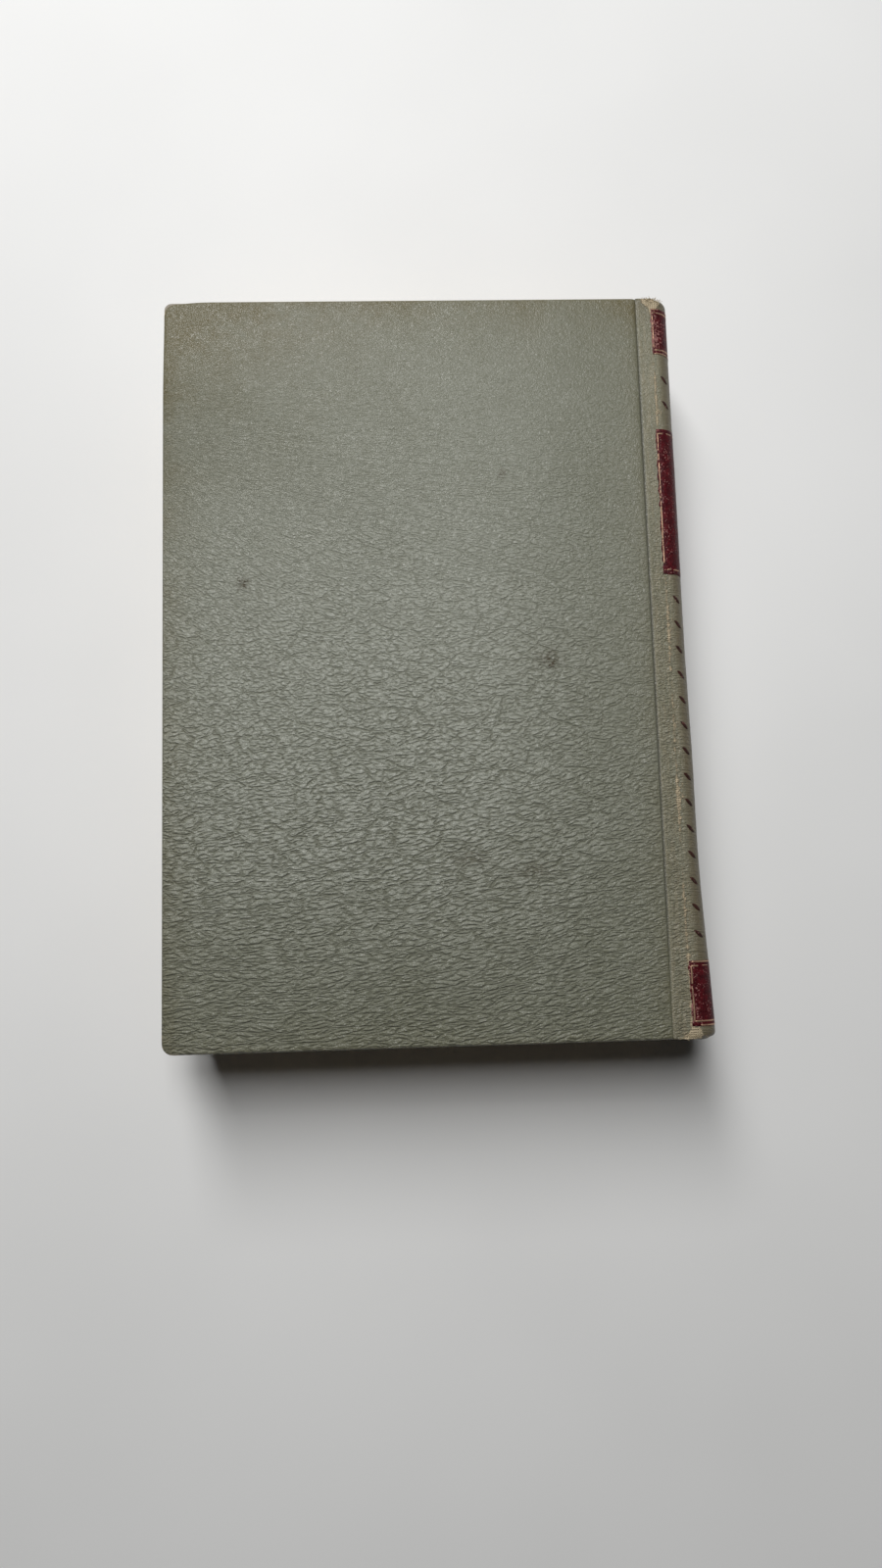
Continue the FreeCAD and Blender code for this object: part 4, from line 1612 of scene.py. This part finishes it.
@dataclass(frozen=True)
class Board(Finish):
    """Grey pulp board or brown paper, with fibres and specks."""

    speck: Triple = (0.12, 0.10, 0.08)

    def look(self, draw: Sketch) -> dict[str, Feed]:
        """Draws the board."""
        where = draw.place()
        fibre = draw.noise(draw.stretch(where, (1.0, 0.3, 1.0)), 1400.0, 4.0, 0.65)
        specks = draw.fit(draw.cells(where, 900.0), 0.22, 0.08)
        colour = draw.coats(self.base, (
            (draw.fit(fibre, 0.35, 0.75, 0.0, 0.35), self.speck), (draw.times(specks, 0.5), self.speck),
        ))
        rough = draw.fit(fibre, 0.3, 0.7, 0.82, 0.95)
        return self.surface(colour, rough, 0.25, draw.bump(fibre, 0.4, 0.06 * MM))


@dataclass(frozen=True)
class Woven(Finish):
    """Cotton threads, crossed as in mull or wound as in a band.

    Attributes:
        gap: Colour of the painted shade between the threads, also laid over the fibres in clouds.
        second: Colour of the other stripe, where the mesh notes stripes.
        pitch: Angle turned for each metre, which sets the count of threads.
    """

    gap: Triple = (0.25, 0.20, 0.13)
    second: Triple = (0.30, 0.10, 0.08)
    pitch: float = 3600.0

    def look(self, draw: Sketch) -> dict[str, Feed]:
        """Draws the threads."""
        where = draw.place()
        fibre = draw.noise(where, 3000.0, 3.0, 0.6)
        weave = draw.group(GROUPS.weave, Scale=self.pitch)
        colour = draw.coats(self.base, (
            (draw.mark("stripe"), self.second),
            # painted shade between the threads
            (draw.times(weave.outputs["Gaps"], 0.6), self.gap),
            (draw.fit(fibre, 0.4, 0.8, 0.0, 0.35), self.gap),
        ))
        rough = draw.fit(fibre, 0.3, 0.7, 0.80, 0.95)
        look = self.surface(colour, rough, 0.2, draw.bump(weave.outputs["Height"], 0.5, 0.10 * MM))
        return look | {"Sheen Weight": 0.15}


@dataclass(frozen=True)
class PaleSheet(Finish):
    """The white sheet that the book lies on, and the pale wall that it fades into.

    Attributes:
        near: Distance from the book at which the sheet begins to fade.
        far: Distance at which only the wall's own tone is left.
        glow: Brightness of the wall where it shows, 1 being white.
        dim: Light that the wall casts on the book.
        rise: Heights between which the wall darkens.
        shade: Colour of the sheet's darker clouds.
    """

    near: float = 0.36
    far: float = 0.85
    glow: float = 0.58
    dim: float = 0.012
    rise: Pair = (0.20, 1.30)
    shade: Triple = (0.80, 0.80, 0.79)

    def look(self, draw: Sketch) -> dict[str, Feed]:
        """Draws the sheet and the wall."""
        where = draw.place()
        cloud = draw.noise(where, 6.0, 3.0)
        tooth = draw.noise(where, 900.0, 2.0)
        away = draw.fit(draw.length(where), self.near, self.far)
        colour = draw.mix(draw.fit(cloud, 0.3, 0.7), self.base, self.shade)
        rays = draw.add("LightPath").outputs
        shown = draw.math("ADD", rays["Is Camera Ray"], rays["Is Glossy Ray"])
        shown = draw.math("ADD", shown, rays["Is Transmission Ray"], clamp=True)
        level = draw.add("SeparateXYZ", {0: where}).outputs[2]
        bright = draw.fit(level, *self.rise, self.glow, 2.0 * self.dim)
        tone = draw.times(draw.math("MULTIPLY_ADD", shown, bright, self.dim), away)
        return {
            "Base Color": draw.mix(away, colour, (0.0, 0.0, 0.0)),
            "Roughness": draw.fit(tooth, 0.3, 0.7, 0.7, 0.85), "Specular IOR Level": 0.2,
            "Emission Color": draw.add("CombineColor", {0: tone, 1: tone, 2: tone}).outputs[0],
            "Emission Strength": 1.0,
        }


class Finishes:
    """Every finish of the book, made once."""

    def __init__(self) -> None:
        """Makes the materials."""
        self.cover = Leatherette("sage_leatherette", (0.144, 0.147, 0.099)).make()
        self.spine = Leatherette("sage_spine_leatherette", (0.160, 0.148, 0.084), toned=(0.120, 0.092, 0.048),
                                 scale=1.5, streaks=0.25).make()
        self.red = RedPanel("red_blocking", (0.104, 0.006, 0.010)).make()
        self.ink = RedPanel("brown_blocking", (0.060, 0.020, 0.014), deep=(0.030, 0.012, 0.009)).make()
        self.gilt = Gilt("dull_gilt", (0.46, 0.29, 0.19)).make()
        self.endpaper = Paper("aged_endpaper", (0.74, 0.67, 0.52)).make()
        self.text = Paper("aged_text_paper", (0.72, 0.64, 0.47)).make()
        self.folds = Paper("aged_fold_paper", (0.72, 0.64, 0.47), lines=0.7).make()
        self.greyboard = Board("grey_pulp_board", (0.33, 0.30, 0.25)).make()
        self.lining = Board("brown_lining_paper", (0.42, 0.32, 0.20)).make()
        self.mull = Woven("starched_mull", (0.62, 0.56, 0.44)).make()
        self.thread = Woven("linen_thread", (0.72, 0.66, 0.52), pitch=9000.0).make()
        self.band = Woven("striped_band", (0.62, 0.55, 0.42), pitch=16000.0).make()
        self.fibre = Woven("tan_fibre", (0.47, 0.39, 0.25), pitch=12000.0).make()

    def dress_solids(self) -> None:
        """Gives the solids that still show their finish."""
        inside = {
            "spine_inlay": self.greyboard, "mull": self.mull, "spine_lining": self.lining,
            "sewing_thread": self.thread,
        }
        for side in Side:
            inside[f"{side.value}_shoulder_folds"] = self.folds
            inside[f"{side.value}_board"] = self.greyboard
            inside[f"{side.value}_mull_flange"] = self.mull
        for name, finish in inside.items():
            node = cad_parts[name]
            node.data.materials.clear()
            node.data.materials.append(finish)
            LOG.info("%s: dressed with %s", name, finish.name)


@dataclass(frozen=True)
class Studio:
    """Floor, lights and the camera of the photograph.

    Attributes:
        eye: Place of the camera.
        right: Direction of the picture's right side.
        up: Direction of the picture's top.
        focal: Focal length as a share of the sensor's long side.
        sensor: Long side of the sensor, in millimetres.
        floor: Half the side of the floor.
        wall: Radius and height of the wall round it.
        aim: The point that the lamps face.
    """

    eye: Triple = (-0.009343, -0.072653, 0.343964)
    right: Triple = (0.99905, -0.02798, 0.03343)
    up: Triple = (0.02367, 0.99212, 0.12302)
    focal: float = 1159.0 / 1600.0
    sensor: float = 36.0
    floor: float = 2.5
    wall: Pair = (2.4, 6.0)
    aim: Triple = (0.0, 0.0, 0.02)

    def build(self) -> None:
        """Sets up the floor, the lights and the camera."""
        self._floor()
        self._lights()
        self._camera()
        bpy.context.scene.view_settings.view_transform = "Standard"

    def _floor(self) -> None:
        """Lays the pale floor and stands the wall round it."""
        bm = bmesh.new()
        bmesh.ops.create_grid(bm, x_segments=2, y_segments=2, size=self.floor)
        radius, height = self.wall
        bmesh.ops.create_cone(bm, segments=96, radius1=radius, radius2=radius, depth=height)
        mesh = bpy.data.meshes.new("pale_floor")
        bm.to_mesh(mesh)
        bm.free()
        sheet = PaleSheet("white_sheet", (0.84, 0.84, 0.83)).make()
        sheet.cycles.emission_sampling = "NONE"
        mesh.materials.append(sheet)
        floor = bpy.data.objects.new("pale_floor", mesh)
        bpy.context.scene.collection.objects.link(floor)

    def _lamp(self, name: str, place: Triple, size: Pair, power: float) -> None:
        """Hangs an oblong lamp that faces the book."""
        lamp = bpy.data.lights.new(name, "AREA")
        lamp.shape = "RECTANGLE"
        lamp.size, lamp.size_y = size
        lamp.energy = power
        holder = bpy.data.objects.new(name, lamp)
        holder.location = place
        ray = Vector(self.aim) - Vector(place)
        holder.rotation_euler = ray.to_track_quat("-Z", "Y").to_euler()
        bpy.context.scene.collection.objects.link(holder)

    def _lights(self) -> None:
        """Lights the book softly from beyond its head."""
        self._lamp("window", (-0.17, 0.55, 0.72), (0.26, 0.50), 5.6)
        self._lamp("ceiling", (-0.03, 0.20, 0.80), (0.22, 0.25), 2.5)
        world = bpy.data.worlds.new("room")
        world.use_nodes = True
        back = world.node_tree.nodes["Background"]
        back.inputs["Color"].default_value = (0.95, 0.97, 1.0, 1.0)
        back.inputs["Strength"].default_value = 0.012
        bpy.context.scene.world = world

    def _camera(self) -> None:
        """Puts the camera where the photograph was taken."""
        camera = bpy.data.cameras.new("photo_camera")
        camera.sensor_width = self.sensor
        camera.lens = self.sensor * self.focal
        camera.clip_start = 0.01
        holder = bpy.data.objects.new("photo_camera", camera)
        right = Vector(self.right)
        up = Vector(self.up)
        back = right.cross(up)
        turn = Matrix((right, up, back)).transposed().to_4x4()
        holder.matrix_world = Matrix.Translation(self.eye) @ turn
        bpy.context.scene.collection.objects.link(holder)
        bpy.context.scene.camera = holder


# The spots on the back cover, from the photograph.
STAINS = (
    Stain(-51.3, 22.1, (1.7, 1.3), 1.2),
    Stain(32.8, -0.7, (3.6, 2.8), 0.55),
    Stain(33.4, -2.0, (1.4, 0.9), 0.60),
    Stain(9.4, -55.2, (4.5, 2.6), 0.38),
    Stain(26.5, -59.1, (5.5, 2.2), 0.42),
    Stain(21.6, 52.5, (0.9, 1.1), 1.1),
    Stain(-18.6, 84.0, (0.7, 0.6), 0.5),
)


def main() -> None:
    """Builds the book from the inside out, then the studio."""
    logging.basicConfig(level=logging.INFO, format="%(message)s")
    book = Book.measure()
    outline = Outline(book)
    finishes = Finishes()
    finishes.dress_solids()
    for number in range(1, SECTIONS + 1):
        LeafStack(book, outline, number).build(finishes.text)
    for node in ("head_band", "tail_band"):
        EndBand(outline, node).build(finishes.band)
    for side in Side:
        Endpaper(book, side).build(finishes.endpaper)
    CoverSkin(book, outline, Side.BACK, 0.8 * MM, STAINS).build(finishes.cover)
    CoverSkin(book, outline, Side.FRONT, 1.2 * MM).build(finishes.cover)
    spine = SpineSkin(book, outline)
    spine.build(finishes.spine)
    SpineTrim(spine).build(finishes.red, finishes.gilt, finishes.ink)
    Fray(spine).build(finishes.fibre)
    Studio().build()


if __name__ == "__main__":
    main()
